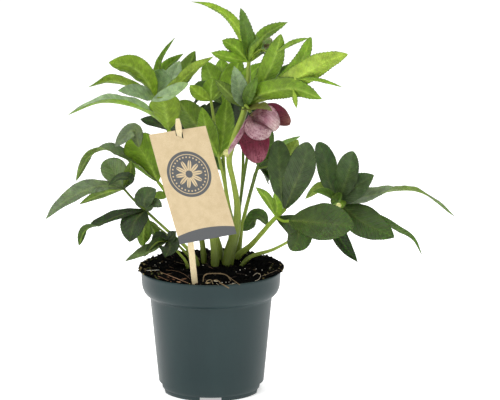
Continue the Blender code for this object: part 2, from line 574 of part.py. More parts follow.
# Each leaf or leafy stem: the places along its stem from the soil up, the stem's radii in mm at those
# places or at its two ends, its leaflets, any side stalks as (places, radius), any knobs as (place,
# radius), and any closed flower buds as (place, radius, half length, axis).
FRONDS = {
    "leaf_upper_left": {
        "colour": YOUNG_GREEN,
        "stem": ((203.5, 262, -6), (201, 235, -4), (187, 180, 8), (166, 125, 20), (155.5, 98, 25)),
        "radii": (1.9, 1.5),
        "leaves": [
            leaf((146, 80, 16), (131, 66.5, 6), (108.8, 62.3, -10), width=24, turn=150, fullness=0.8),
            leaf((115, 81, 6), (88.4, 86.9, -12), width=15, turn=122),
            leaf((137, 92.5, 4), (117.5, 90.7, -10), width=17, turn=35),
            leaf((160, 84, 30), (163, 69, 26), width=24, turn=12, **BLUNT_SHORT),
            leaf((160, 62, 42), (174.9, 37.6, 52), width=12, turn=115),
            leaf((166, 69, 50), (183.5, 53.5, 62), width=14, turn=150),
            leaf((176, 86, 14), (196, 68, 4), (213.7, 56.4, -2), width=15, turn=135),
            leaf((184, 73, 52), (195.3, 51, 62), width=22, turn=160, **ROUND),
            leaf((171, 79, 38), (180, 61, 44), width=18, turn=20, **ROUND_SHORT),
        ],
    },
    "leaf_mid_left": {
        "colour": YOUNG_GREEN,
        "stem": ((214.5, 262, -15), (213, 238, -15), (200, 190, -12), (181, 150, -8), (168.5, 130, -5)),
        "radii": (2.9, 1.7),
        "leaves": [
            leaf((153, 116, -8), (130, 106, -20), (100, 103, -30), (68, 115, -40), width=20, turn=78,
                 fold=CHANNELLED, rows=LONG_ROWS),
            leaf((166.5, 114, -18), (163, 101, -28), (162, 97, -31), width=30, turn=175, **BLUNT),
            leaf((170, 93.5, -33), (188.5, 83.5, -42), start=(152, 101, -27), width=14, turn=30,
                 **ROUND_SHORT),
            leaf((153, 122, 8), (140, 119, 16), width=12, turn=30, rows=SHORT_ROWS),
        ],
    },
    "leaf_left": {
        "colour": MID_GREEN,
        "stem": ((220, 261, 1), (218, 238, 1), (196, 212, -4), (165, 195, -8), (158, 182, -10)),
        "radii": (2.2, 1.5),
        "leaves": [
            leaf((138, 164, -18), (112, 150, -28), (90, 156, -38), (76, 181, -44), width=16,
                 turn=(60, 60, 50, 125, 155), fullness=0.75, rows=LONG_ROWS),
            leaf((149, 163, -20), (139, 147, -27), (131, 137, -32), width=35, turn=170, **BLUNT),
            leaf((133, 130.5, -37), (115, 146.5, -42), start=(139, 147, -27), width=14, turn=20,
                 **ROUND_SHORT),
            leaf((159, 196, -14), (152.5, 199, -18), start=(168, 194.5, -7), width=9, turn=20,
                 rows=SHORT_ROWS),
        ],
    },
    "leaf_low_left": {
        "colour": GREY_GREEN,
        "stem": ((196.5, 262, -15), (190, 251, -17), (174.5, 237, -24), (158, 222, -32), (145, 210, -38)),
        "radii": (1.7, 1.2),
        "leaves": [
            leaf((145, 199, -40), (156, 189, -40), width=19, turn=20, **ROUND_SHORT),
            leaf((154, 204, -43), (162, 207, -46), width=12, turn=30, **ROUND_SHORT),
            leaf((122, 215, -47), (98, 225, -55), (85, 231, -60), (79, 245.5, -64), width=16,
                 turn=(60, 55, 55, 140, 165), fullness=0.65, rows=LONG_ROWS),
            leaf((134, 223, -52), (129.6, 242, -58), width=24, turn=20, **ROUND),
            leaf((144, 228, -40), (143, 247, -38), width=15, turn=165),
            leaf((105, 186, -47), (86, 190, -54), (64, 202, -62), (45.3, 219.4, -68),
                 start=LOW_LEFT_FORK, width=18, turn=40, rows=LONG_ROWS),
            leaf((104, 193, -30), (79, 204.5, -26), start=LOW_LEFT_FORK, width=10, turn=150),
            leaf((115, 174, -36), (105, 160, -32), start=LOW_LEFT_FORK, width=25, turn=20, **BLUNT),
            leaf((130, 176, -42), (131, 160, -44), start=LOW_LEFT_FORK, width=12, turn=150,
                 rows=SHORT_ROWS),
            leaf((129, 179, -50), (119, 178, -54), (108, 186, -58), start=LOW_LEFT_FORK, width=12,
                 turn=55, rows=SHORT_ROWS),
        ],
        "stalks": [(((145, 210, -38), (133, 199, -38), LOW_LEFT_FORK), 1.1)],
    },
    "leaf_rim_left": {
        "colour": MID_GREEN,
        "stem": ((190, 258, -4), (180, 247, -6), (165, 233, -8), (148, 220, -10)),
        "radii": (1.2, 0.9),
        "leaves": [
            leaf((145, 232, -12), (141, 246, -16), width=15, turn=165, rows=SHORT_ROWS),
            leaf((153, 229, 0), (159, 241, 6), width=11, turn=150, rows=SHORT_ROWS),
            leaf((137, 224, 0), (128, 231, 6), width=11, turn=40, rows=SHORT_ROWS),
        ],
    },
    "leaf_front_left": {
        "colour": DARK_GREEN,
        "stem": ((187, 264, -18), (178, 252, -24), (168, 241, -28)),
        "radii": (1.3, 1.0),
        "leaves": [
            leaf((156, 243, -42), (144, 257, -52), width=9, turn=150, rows=SHORT_ROWS),
            leaf((170, 247, -42), (165, 257, -51), width=20, turn=20, **ROUND_SHORT),
            leaf((160, 240, -22), (152, 246, -22), width=15, turn=30, rows=SHORT_ROWS),
            leaf((173, 236, -36), (176, 231, -40), width=12, turn=30, rows=SHORT_ROWS),
            leaf((148, 250, -46), (124.7, 261.5, -62), width=12, turn=45),
        ],
    },
    "leaf_centre": {
        "colour": YOUNG_GREEN,
        "stem": ((227, 260, 13), (232, 238, 13), (227, 195, 13), CENTRE_FORK, (214.5, 125, 12),
                 (211, 101, 12)),
        "radii": (1.8, 1.3),
        "leaves": [
            leaf((200, 95, 4), (190, 85, -4), width=14, turn=160, rows=SHORT_ROWS),
            leaf((211, 90, 8), (213, 78, 2), width=16, turn=175, **ROUND_SHORT),
            leaf((217, 94, 12), (224, 85, 14), width=13, turn=150, rows=SHORT_ROWS),
            leaf((208, 135, 4), (202, 107, -4), start=CENTRE_FORK, width=19, turn=170),
            leaf((197, 126, 18), (179, 101, 20), start=CENTRE_FORK, width=27, turn=160, **BLUNT),
            leaf((224, 128, 22), (227, 97, 26), start=CENTRE_FORK, width=22, turn=170),
        ],
        "stalks": [((CENTRE_FORK, (227, 149, 10), (233, 143, 4)), 1.0)],
    },
    "leaf_back_centre": {
        "colour": MID_GREEN,
        "stem": ((229, 257, 24), (232, 228, 26), (226, 192, 34), (223, 155, 42), (223, 104, 48)),
        "radii": (2.3, 1.6),
        "leaves": [
            leaf((213, 82, 56), (205, 61, 60), width=24, turn=165, **ROUND),
            leaf((223, 82, 62), (221, 58, 70), width=24, turn=170, **ROUND),
            leaf((233, 80, 52), (240, 58, 54), width=25, turn=160, **ROUND),
            leaf((205, 88, 44), (193, 86, 38), width=15, turn=30, rows=SHORT_ROWS),
            leaf((240, 92, 60), (262, 82, 72), width=24, turn=150, rows=SHORT_ROWS),
            leaf((228, 104, 66), (236, 112, 86), width=20, turn=90, rows=SHORT_ROWS),
            leaf((206, 96, 64), (193, 104, 78), width=20, turn=60, rows=SHORT_ROWS),
            leaf((243, 82, 56), (263, 62, 60), width=19, turn=160),
            leaf((230, 114, 53), (230, 133, 54), width=20, turn=20, **ROUND_SHORT),
            leaf((214, 112, 50), (210, 129, 51), width=20, turn=20, **ROUND_SHORT),
        ],
    },
    "leaf_right": {
        "colour": DARK_GREEN,
        "stem": ((235, 260, 7), (250, 246, 2), (268, 226, -10), RIGHT_FORK, (285, 209, -20)),
        "radii": (2.6, 1.9),
        "leaves": [
            leaf((281, 190, -12), (279, 165, -4), (278, 140, 2), width=24, turn=12, **BLUNT),
            leaf((294, 187, -28), (303, 165, -32), (308, 142, -34), width=28, turn=12, **BLUNT),
            leaf((288, 180, 8), (289, 158, 12), (298, 139.5, 14), width=27, turn=170, **ROUND),
            leaf((267, 199, -22), (255.5, 187, -26), start=RIGHT_FORK, width=10, turn=150,
                 rows=SHORT_ROWS),
            leaf((277, 205, -30), (274, 193, -36), start=RIGHT_FORK, width=12, turn=140,
                 rows=SHORT_ROWS),
            leaf((300, 221, -36), (327, 223.5, -54), (354, 226, -66), start=(289, 221, -27), width=36,
                 turn=15, fullness=0.6, peak=0.6, rows=LONG_ROWS),
            leaf((298, 231, -22), (292, 251, -26), start=RIGHT_FORK, width=25, turn=20, **BLUNT),
            leaf((258, 217, 4), (243, 231, 18), start=(268, 226, -10), width=16, turn=30,
                 rows=SHORT_ROWS),
        ],
        "stalks": [((RIGHT_FORK, (283, 221, -22), (289, 221, -27)), 1.3)],
    },
    "leaf_far_right": {
        "colour": GREY_GREEN,
        "stem": ((239, 262, -9), (262, 254, -6), (288, 242, 2), (316, 222, 10), (338, 202, 12)),
        "radii": (1.5, 1.2),
        "leaves": [
            leaf((329, 182, 16), (325, 160, 18), (318, 142, 20), width=20, turn=12, **BLUNT),
            leaf((347, 178, 2), (353, 151, -8), width=23, turn=15, **BLUNT),
            leaf((357, 186, 0), (374, 175, -10), width=23, turn=10, **ROUND_SHORT),
            leaf((368, 196, 4), (398, 190.5, -6), (424, 194, -14), (455, 216.8, -26), width=20,
                 peak=0.32, turn=(50, 45, 100, 95, 35), rows=LONG_ROWS),
            leaf((362, 222, -4), (394.2, 237.5, -20), width=31, turn=15, **ROUND),
            leaf((366, 213, 10), (392, 226, 6), (412, 238, 2), (422.5, 255.8, -4), width=9, turn=45,
                 rows=LONG_ROWS),
            leaf((338, 232, 2), (346, 248, -6), (357.8, 262.4, -12), width=16, turn=20),
            leaf((326, 194, -4), (313, 191.5, -14), width=12, turn=50, rows=SHORT_ROWS),
            leaf((339, 201, -14), (338, 208, -34), width=15, turn=50, rows=SHORT_ROWS),
            leaf((322, 188, 28), (305, 199, 38), width=12, turn=150, rows=SHORT_ROWS),
        ],
    },
    "leaf_back_right": {
        "colour": DARK_GREEN,
        "stem": ((238, 259, 20), (242, 225, 24), (249, 198, 32), (255, 175, 40), (258, 166, 44)),
        "radii": (2.2, 1.5),
        "leaves": [
            leaf((263, 150, 52), (272, 130, 58), width=20, turn=20, **ROUND_SHORT),
            leaf((276, 150, 60), (301, 136, 72), width=13, turn=60),
            leaf((270, 165, 56), (284, 158, 68), width=14, turn=30, rows=SHORT_ROWS),
            leaf((264, 140, 74), (262, 118, 84), width=20, turn=30, **ROUND_SHORT),
            leaf((262, 170, 70), (268, 184, 92), width=20, turn=90, **ROUND_SHORT),
            leaf((268, 176, 66), (290, 184, 84), width=17, turn=70, rows=SHORT_ROWS),
        ],
        "stalks": [(((249, 198, 32), (252, 184, 25), (257, 170, 22), (272, 166, 22)), 0.9)],
    },
    "leaf_back_low": {
        "colour": DARK_GREEN,
        "stem": ((233, 256, 32), (240, 205, 38), (243, 165, 42), (243, 143, 46)),
        "radii": (1.6, 1.3),
        "leaves": [
            leaf((242, 122, 42), (238, 98, 34), width=25, turn=20, **ROUND),
            leaf((247, 142, 78), (248, 154, 104), width=20, turn=90, **ROUND_SHORT),
            leaf((247, 122, 62), (258, 108, 58), width=19, turn=30, **ROUND_SHORT),
        ],
        "stalks": [(((240, 205, 38), (243, 183, 28), (247, 158, 24), (249, 146, 24)), 1.4)],
    },
    "leaf_back_left": {
        "colour": DARK_GREEN,
        "stem": ((215, 257, 16), (211, 222, 26), (199, 178, 42), (194, 152, 50)),
        "radii": (2.0, 1.5),
        "leaves": [
            leaf((212, 141, 42), (231, 122, 36), width=24, turn=20, **ROUND),
            leaf((211, 158, 42), (224, 172, 34), width=14, turn=20, rows=SHORT_ROWS),
            leaf((200, 130, 65), (205, 104, 74), width=24, turn=20, **ROUND),
            leaf((186, 132, 62), (183, 108, 70), width=24, turn=20, **ROUND_SHORT),
            leaf((180, 134, 74), (162, 118, 84), width=22, turn=40, **ROUND_SHORT),
            leaf((172, 152, 70), (154, 156, 88), width=21, turn=60, **ROUND_SHORT),
            leaf((196, 158, 78), (200, 176, 102), width=20, turn=90, **ROUND_SHORT),
        ],
    },
    "flower_stem": {
        "colour": STEM_GREEN,
        "stem": ((226.5, 262, -9), (234, 238, -9), (237.5, 212, -9), (233, 180, -10), (229, 154, -11),
                 (237, 131, -9), FLOWER_FORK, (248, 80, -5), TOP_FORK),
        "radii": (4.0, 3.3, 2.6, 2.4, 2.8, 3.4, 3.0, 2.0, 1.8),
        "leaves": [
            leaf((239, 91, -18), (234, 66, -26), start=FLOWER_FORK, width=17, turn=20),
            leaf((250, 93, -22), (258, 77, -30), start=FLOWER_FORK, width=12, turn=20, rows=SHORT_ROWS),
            leaf((231, 95, -12), (215, 80, -14), start=FLOWER_FORK, width=14, turn=160),
            leaf((262, 84, -18), (274, 60, -26), (281, 34, -32), start=FLOWER_FORK, width=20, turn=165,
                 fullness=0.7, peak=0.6, rows=LONG_ROWS),
            leaf((266, 96, -22), (296, 79, -38), (325, 62, -54), (348, 54.2, -64), start=FLOWER_FORK,
                 width=22, turn=165, fullness=0.75, peak=0.62, rows=LONG_ROWS),
            leaf((260, 95, -24), (293, 89, -38), (322, 99, -44), start=FLOWER_FORK, width=22, turn=155,
                 fullness=0.75),
            leaf((320, 81, -48), (343, 87.5, -56), start=(296, 79, -38), width=7, turn=120,
                 rows=SHORT_ROWS),
            leaf((294, 99, -40), (296.6, 108.4, -42), start=(293, 89, -38), width=6, turn=140,
                 rows=SHORT_ROWS),
            leaf((280, 84, 0), (301, 61, 6), (311, 37, 10), start=FLOWER_FORK, width=14, turn=170,
                 **BLUNT),
            leaf((293, 43, -28), (309, 38, -30), start=(277, 52, -28), width=7, turn=130,
                 rows=SHORT_ROWS),
            leaf((280, 76, 12), (299, 61, 20), start=FLOWER_FORK, width=15, turn=25, rows=SHORT_ROWS),
            leaf((243, 38, 8), (228, 17, 18), (209, 6, 26), (191, 1.5, 32), width=11,
                 turn=(170, 160, 140, 130, 120), peak=0.44, rows=LONG_ROWS),
            leaf((246, 34, -12), (240.5, 8, -20), width=13, turn=25, **ROUND),
            leaf((253, 46, -4), (254, 31, -4), width=7, turn=160, rows=SHORT_ROWS),
            leaf((264, 36, 14), (288, 22, 22), width=13, turn=150),
            leaf((236, 48, -12), (222, 40, -20), width=15, turn=160, rows=SHORT_ROWS),
            leaf((230, 58, -8), (210.9, 52.5, -14), width=11, turn=150, rows=SHORT_ROWS),
            leaf((258, 52, 16), (272, 46, 26), width=14, turn=60, rows=SHORT_ROWS),
            leaf((241, 52, 14), (236, 40, 26), width=14, turn=60, rows=SHORT_ROWS),
            leaf((258, 50, -16), (263, 36, -18), width=9, turn=40, rows=SHORT_ROWS),
            leaf((260, 51, -18), (270, 55, -22), width=6, turn=110, rows=SHORT_ROWS),
        ],
        "stalks": [
            ((FLOWER_FORK, (246, 105.5, -16), (250.5, 111.8, -23.8)), 1.4),
            ((TOP_FORK, (255, 58, -6), (257, 54, -8)), 1.1),
            ((TOP_FORK, (258, 56, 4), (265, 50, 5)), 1.1),
        ],
        "knobs": [((227.5, 153, -11), 3.6)],
        "buds": [((259.5, 46, -8), 4.8, 6.8, (0.3, -0.1, 1)), ((267.5, 44, 5), 4.2, 6.2, (0.5, 0.0, 1))],
    },
}


def stem_line(frond, extra_depth=0.0, extra_radius=0.0):
    """A stem from its buried end up, as (position, radius) pairs, or the hole that it stands in."""
    points = [spot(*place) for place in frond["stem"]]
    heading = (points[1] - points[0]).normalized()
    down = (heading * 0.35 + Vector((0, 0, 1))).normalized() * -1
    points.insert(0, points[0] + down * (STALK_BURIED * MM))
    radii = frond["radii"]
    if len(radii) == 2:
        last = len(points) - 1
        radii = [mix(radii[0], radii[1], index / last) for index in range(last + 1)]
    else:
        radii = (radii[0],) + radii
    length = sum((end - start).length for start, end in zip(points, points[1:])) / MM
    line = smooth_line(points, radii, max(5, round(length / STALK_STEP)))
    line = [(position, radius + extra_radius) for position, radius in line]
    if extra_depth:
        foot, radius = line[0]
        away = (foot - line[1][0]).normalized()
        line.insert(0, (foot + away * (extra_depth * MM), radius))
    return line


def axis_frame(origin, axis):
    """A frame at `origin` with its Z along `axis`."""
    frame = axis.to_track_quat("Z", "Y").to_matrix().to_4x4()
    frame.translation = origin
    return frame


def make_frond(name, frond):
    """A leaf or leafy stem: its stem, side stalks, knobs, buds and leaflets fused into one body."""
    pieces = [tube(stem_line(frond))]
    for path, radius in frond.get("stalks", ()):
        pieces.append(tube(smooth_line([spot(*place) for place in path], radius, len(path))))
    for place, radius in frond.get("knobs", ()):
        pieces.append(ball(radius, Matrix.Translation(spot(*place))))
    for place, radius, half_length, axis in frond.get("buds", ()):
        frame = axis_frame(spot(*place), Vector(axis).normalized())
        pieces.append(ball(radius, frame @ Matrix.Diagonal((1, 1, half_length / radius, 1))))
    for part in frond["leaves"]:
        start = part["start"] or frond["stem"][-1]
        pieces.append(blade((start,) + part["path"], part["width"], part["turn"], **part["shape"]))
    finish_part(fused(pieces), name, frond["colour"], 0.5)


# The flower nods: its axis points out of the open bell. Each sepal is (path, width, turn).
FLOWER_HEART = (253, 115, -25)
FLOWER_AXIS = Vector((0.62, -0.20, -0.75)).normalized()
SEPALS = [
    (((252, 114.5, -27), (264, 117, -47), (277, 129.5, -54)), 25, 170),
    (((251, 116, -28), (256, 129, -47), (267, 137.5, -55)), 24, 190),
    (((254, 114.5, -22.5), (272, 113.4, -9.4), (290.5, 122, -7.5)), 24.5, 18),
    (((253, 116, -23), (254, 138, -12), (258.5, 163, -10)), 31, 0),
    (((251, 116, -26), (241.5, 136, -30), (229, 154.5, -28)), 15, 95),
]
SEPAL_SHAPE = {"rows": 5, "columns": 4, "peak": 0.48, "fullness": 0.5, "tooth": 0.0, "wave": 0.3,
               "base_width": 8.0, "fold": math.radians(30)}
RECEPTACLE_RADIUS = 4.6
RECEPTACLE_FLATNESS = 0.45
STAMEN_COUNT = 9
STAMEN_CORE_HEIGHT = 9.0
STAMEN_CORE_RADIUS = 2.2
STAMEN_LENGTH = 9.5
STAMEN_SPREAD = 4.4
STAMEN_BENDS = ((0.2, 0.0), (0.65, 0.4), (0.95, 0.8), (1.0, 1.0))
STAMEN_RADII = (0.5, 0.5, 1.15, 0.7)


def make_flower():
    """The sepals round their receptacle, and the stamens in the middle."""
    heart = axis_frame(spot(*FLOWER_HEART), FLOWER_AXIS)
    receptacle = ball(RECEPTACLE_RADIUS, heart @ Matrix.Diagonal((1, 1, RECEPTACLE_FLATNESS, 1)))
    sepals = [blade(path, width, turn, **SEPAL_SHAPE) for path, width, turn in SEPALS]
    finish_part(fused([receptacle] + sepals), "flower_sepals", SEPAL_ROSE, 0.55)

    draw = random.Random(5)
    stamens = [ball(STAMEN_CORE_RADIUS, heart @ Matrix.Translation((0, 0, STAMEN_CORE_HEIGHT * MM)))]
    for index in range(STAMEN_COUNT):
        angle = 2 * math.pi * index / STAMEN_COUNT
        outward = Vector((math.cos(angle), math.sin(angle), 0))
        spread = STAMEN_SPREAD + draw.uniform(-0.8, 0.8)
        length = STAMEN_LENGTH + draw.uniform(-1.5, 1.5)
        line = []
        for (spread_share, length_share), radius in zip(STAMEN_BENDS, STAMEN_RADII):
            rise = Vector((0, 0, STAMEN_CORE_HEIGHT + length * length_share))
            line.append((heart @ ((outward * spread * spread_share + rise) * MM), radius))
        stamens.append(tube(line, sides=4))
    finish_part(fused(stamens), "flower_stamens", STAMEN_CREAM, 0.6)


def main():
    """Builds the whole plant."""
    for leftover in list(bpy.data.objects):
        bpy.data.objects.remove(leftover)
    for name in ("hellebore", "cutters"):
        bpy.context.scene.collection.children.link(bpy.data.collections.new(name))
    make_pot()
    make_stake()
    make_tag()
    cutters = [stake_box("stake hole", HOLE_CLEARANCE)]
    for name, frond in FRONDS.items():
        make_frond(name, frond)
        hole = tube(stem_line(frond, HOLE_EXTRA_DEPTH, HOLE_CLEARANCE))
        hole.name = "hole of " + name
        cutters.append(hole)
    make_soil(cutters)
    make_flower()


main()
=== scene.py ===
"""The looks of the flowering hellebore in its pot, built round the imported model.

Each CAD node is replaced by a finer piece of the same form. Metres, +Z up, the origin on the ground at
the pot's axis. A place in the reference view is given by spot(across, down, depth): the pixel where it
is seen in the 500 x 400 picture, and how many millimetres it lies behind the pot's axis.
"""
import json
import math
import random

import bmesh
import bpy
from mathutils import Matrix, Vector, noise

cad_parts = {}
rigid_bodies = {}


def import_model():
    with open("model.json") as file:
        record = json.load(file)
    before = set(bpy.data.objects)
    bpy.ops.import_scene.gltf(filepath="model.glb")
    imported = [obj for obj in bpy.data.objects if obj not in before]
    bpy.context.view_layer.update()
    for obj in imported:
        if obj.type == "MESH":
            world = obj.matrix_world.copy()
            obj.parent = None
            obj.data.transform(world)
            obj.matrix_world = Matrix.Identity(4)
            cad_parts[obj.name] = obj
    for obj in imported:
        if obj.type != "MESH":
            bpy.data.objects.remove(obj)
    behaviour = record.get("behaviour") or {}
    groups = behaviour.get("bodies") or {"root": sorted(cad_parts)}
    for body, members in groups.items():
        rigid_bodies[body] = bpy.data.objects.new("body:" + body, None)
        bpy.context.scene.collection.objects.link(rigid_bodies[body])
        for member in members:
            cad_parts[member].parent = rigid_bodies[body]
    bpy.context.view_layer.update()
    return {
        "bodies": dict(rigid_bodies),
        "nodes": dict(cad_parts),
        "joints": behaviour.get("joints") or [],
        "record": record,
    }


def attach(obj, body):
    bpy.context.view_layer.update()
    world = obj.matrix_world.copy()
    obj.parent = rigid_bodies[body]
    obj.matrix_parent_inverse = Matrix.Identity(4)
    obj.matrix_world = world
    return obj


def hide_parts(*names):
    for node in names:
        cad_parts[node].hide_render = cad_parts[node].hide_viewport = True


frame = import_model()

MM = 0.001

# The eye of the reference view.
EYE = Vector((36.5, -2000.0, 585.0)) * MM
EYE_PITCH = math.radians(11.42)
EYE_FOCAL_PIXELS = 2194.0
PICTURE_CENTRE = (250.0, 200.0)

# Nursery pot, 13 cm across the rim.
POT_HEIGHT = 115.0
RIM_RADIUS = 65.5
RIM_BAND_HEIGHT = 15.0
RIM_THICKNESS = 2.2
SHOULDER_HEIGHT = 91.0
WALL_TOP_RADIUS = 57.3
WALL_FOOT_RADIUS = 49.6
WALL_THICKNESS = 1.7
FOOT_RADIUS = 46.4
FOOT_BAND_HEIGHT = 3.6
FLOOR_PAD_RADIUS = 33.0
FLOOR_RAISE = 10.2
TURN_STEPS = 36
SIDE_NOTCH_HALF_ANGLE = math.radians(24)
SIDE_NOTCH_HEIGHT = 9.0
FRONT_NOTCH_WIDTH = 20.0
FRONT_NOTCH_HEIGHT = 3.8
NOTCH_REACH = 14.0

# Soil, heaped towards the back and spilling over the rim at both sides. Angles are in degrees round
# the pot from the side that faces the viewer.
SOIL_FRONT_HEIGHT = 113.4
SOIL_LIP_HEIGHT = 117.0
SOIL_MOUND_HEIGHT = 122.5
SOIL_BACK_RISE = 3.5
SOIL_SPILL = 5.0
SOIL_BACK_SPILL = 2.2
SOIL_RELIEF = 1.7
SOIL_CLEARANCE = 0.7
SOIL_RISE_ANGLES = (22, 50)
SOIL_SPILL_ANGLES = (55, 78)
SOIL_BACK_ANGLES = (112, 150)
SOIL_TOP_RINGS = (9, 18, 27, 36, 46, 55)
HOLE_CLEARANCE = 0.5
HOLE_EXTRA_DEPTH = 1.2

# Stake and tag.
STAKE_WIDTH = 5.6
STAKE_THICKNESS = 2.4
STAKE_BURIED = 30.0
STAKE_EDGE = 0.6
TAG_WIDTH = 57.0
TAG_HEIGHT = 103.5
TAG_THICKNESS = 0.9
TAG_HOLE_CLEARANCE = 0.45

# Stems and blades.
STALK_BURIED = 15.0
STALK_STEP = 24.0
BLADE_THICKNESS = 0.85
BLADE_FOLD = math.radians(17)
BLADE_BASE_WIDTH = 2.4
BLADE_WAVE = 0.5
TOOTH = 0.11
TIP_CROWDING = 1.35
SHORT_ROWS = 4
LONG_ROWS = 8



def srgb(red, green, blue):
    """Linear colour from 0 to 255 screen values."""
    return tuple(((value / 255 + 0.055) / 1.055) ** 2.4 for value in (red, green, blue)) + (1.0,)


def spot(across, down, depth):
    """The point seen at a pixel of the reference view, `depth` mm behind the pot's axis."""
    right = Vector((1, 0, 0))
    forward = Vector((0, math.cos(EYE_PITCH), -math.sin(EYE_PITCH)))
    up = Vector((0, math.sin(EYE_PITCH), math.cos(EYE_PITCH)))
    ray = forward * EYE_FOCAL_PIXELS
    ray += right * (across - PICTURE_CENTRE[0]) + up * (PICTURE_CENTRE[1] - down)
    return EYE + ray * ((depth * MM - EYE.y) / ray.y)


def mix(low, high, share):
    """The value `share` of the way from low to high."""
    return low + (high - low) * share


def smoothstep(low, high, value):
    """0 below `low`, 1 above `high`, smooth between them."""
    share = min(max((value - low) / (high - low), 0.0), 1.0)
    return share * share * (3 - 2 * share)


def along(values, place):
    """A value read from a list, one for each point of a path, or the same value all along it."""
    if isinstance(values, (int, float)):
        return values
    index = min(int(place), len(values) - 2)
    return mix(values[index], values[index + 1], place - index)


def smooth_path(points, shares):
    """The points at the given shares of the length of a smooth curve, each with its place in `points`."""
    ends = [points[0] * 2 - points[1]] + list(points) + [points[-1] * 2 - points[-2]]
    steps_per_span = 16
    dense = []
    for span in range(len(points) - 1):
        a, b, c, d = ends[span:span + 4]
        for step in range(steps_per_span):
            t = step / steps_per_span
            bend = (a * -1 + b * 3 - c * 3 + d) * t ** 3 + (a * 2 - b * 5 + c * 4 - d) * t ** 2
            dense.append((b + (bend + (c - a) * t) * 0.5, span + t))
    dense.append((points[-1], len(points) - 1))
    lengths = [0.0]
    for (start, _), (end, _) in zip(dense, dense[1:]):
        lengths.append(lengths[-1] + (end - start).length)
    places = []
    segment = 0
    for share in shares:
        target = lengths[-1] * share
        while segment < len(dense) - 2 and lengths[segment + 1] < target:
            segment += 1
        part = (target - lengths[segment]) / (lengths[segment + 1] - lengths[segment])
        part = min(max(part, 0.0), 1.0)
        (start, start_place), (end, end_place) = dense[segment], dense[segment + 1]
        places.append((start.lerp(end, part), mix(start_place, end_place, part)))
    return places


def smooth_line(points, radii, segments):
    """Evenly spaced (position, radius) pairs on a smooth curve through `points`."""
    places = smooth_path(points, [index / segments for index in range(segments + 1)])
    return [(position, along(radii, place)) for position, place in places]


def width_share(t, peak, fullness):
    """The share of a blade's full width at t along it, widest at `peak`."""
    return math.sin(math.pi * t ** (math.log(0.5) / math.log(peak))) ** fullness


def soil_place(ring, x, y, z):
    """Where a point of the soil belongs, in mm, given the ring of the profile that it lies on."""
    radius = math.hypot(x, y)
    from_front = math.degrees(math.atan2(abs(x), -y))
    raised = smoothstep(*SOIL_RISE_ANGLES, from_front)
    spill = SOIL_SPILL * smoothstep(*SOIL_SPILL_ANGLES, from_front)
    spill = mix(spill, SOIL_BACK_SPILL, smoothstep(*SOIL_BACK_ANGLES, from_front))
    crumb = noise.noise(Vector((x, y, z)) * 0.16) * 2 * SOIL_RELIEF
    crumb += noise.noise(Vector((x, y, z + 40)) * 0.45) * SOIL_RELIEF
    if ring == "top":
        edge = mix(SOIL_FRONT_HEIGHT, SOIL_LIP_HEIGHT, raised)
        height = mix(SOIL_MOUND_HEIGHT, edge, smoothstep(0.1, 1.0, radius / (RIM_RADIUS - 3)))
        return x, y, height + SOIL_BACK_RISE * smoothstep(-20, 55, y) + crumb
    if ring == "crest":
        outwards = spill * 0.5
        height = mix(SOIL_FRONT_HEIGHT + 0.4, SOIL_LIP_HEIGHT + 1.8 + abs(crumb), raised)
    elif ring == "edge":
        outwards = spill + max(crumb, 0.0) * 0.3 * raised
        height = mix(SOIL_FRONT_HEIGHT - 0.4, SOIL_LIP_HEIGHT + abs(crumb) * 0.4, raised)
    elif ring == "underside":
        outwards = spill * 0.8
        height = mix(SOIL_FRONT_HEIGHT - 1.8, POT_HEIGHT + 0.6, raised)
    else:
        outwards = 0.0
        height = mix(SOIL_FRONT_HEIGHT - 3.4, POT_HEIGHT + 0.5, raised)
    stretch = 1 + outwards / radius
    return x * stretch, y * stretch, height


# Roots that loop out of the soil at the front: path and radius in mm.
ROOTS = [
    (((203, 282, -52), (205, 275, -50), (215, 273.5, -50), (226, 275, -50), (231, 281, -52)), 0.8),
    (((209, 283, -53), (216, 280, -58), (222, 284, -63), (229, 288, -68)), 0.75),
]

# The stake, where it leaves the soil and at its top, and three corners of the tag.
STAKE_FOOT = (194.6, 281, -50)
STAKE_TIP = (177.6, 118.5, -58)
TAG_TOP_LEFT = (149, 134.7, -70)
TAG_TOP_RIGHT = (204.7, 125.9, -43)
TAG_BOTTOM_LEFT = (177.6, 243.2, -110)


def leaf(*path, width, turn, start=None, **shape):
    """One leaflet: the places along its midrib after `start`, or after the top of its stem."""
    return {"path": path, "width": width, "turn": turn, "start": start, "shape": shape}


ROUND = {"fullness": 0.7}
BLUNT = {"fullness": 0.5, "peak": 0.62}
BLUNT_SHORT = {"fullness": 0.5, "peak": 0.62, "rows": SHORT_ROWS}
ROUND_SHORT = {"fullness": 0.7, "rows": SHORT_ROWS}
CHANNELLED = math.radians(35)

# Places where several leaflets spring from one point.
LOW_LEFT_FORK = (124, 189, -40)
RIGHT_FORK = (276, 217, -16)
CENTRE_FORK = (219, 158, 13)
FLOWER_FORK = (245, 108, -7)
TOP_FORK = (248.7, 62, -3)

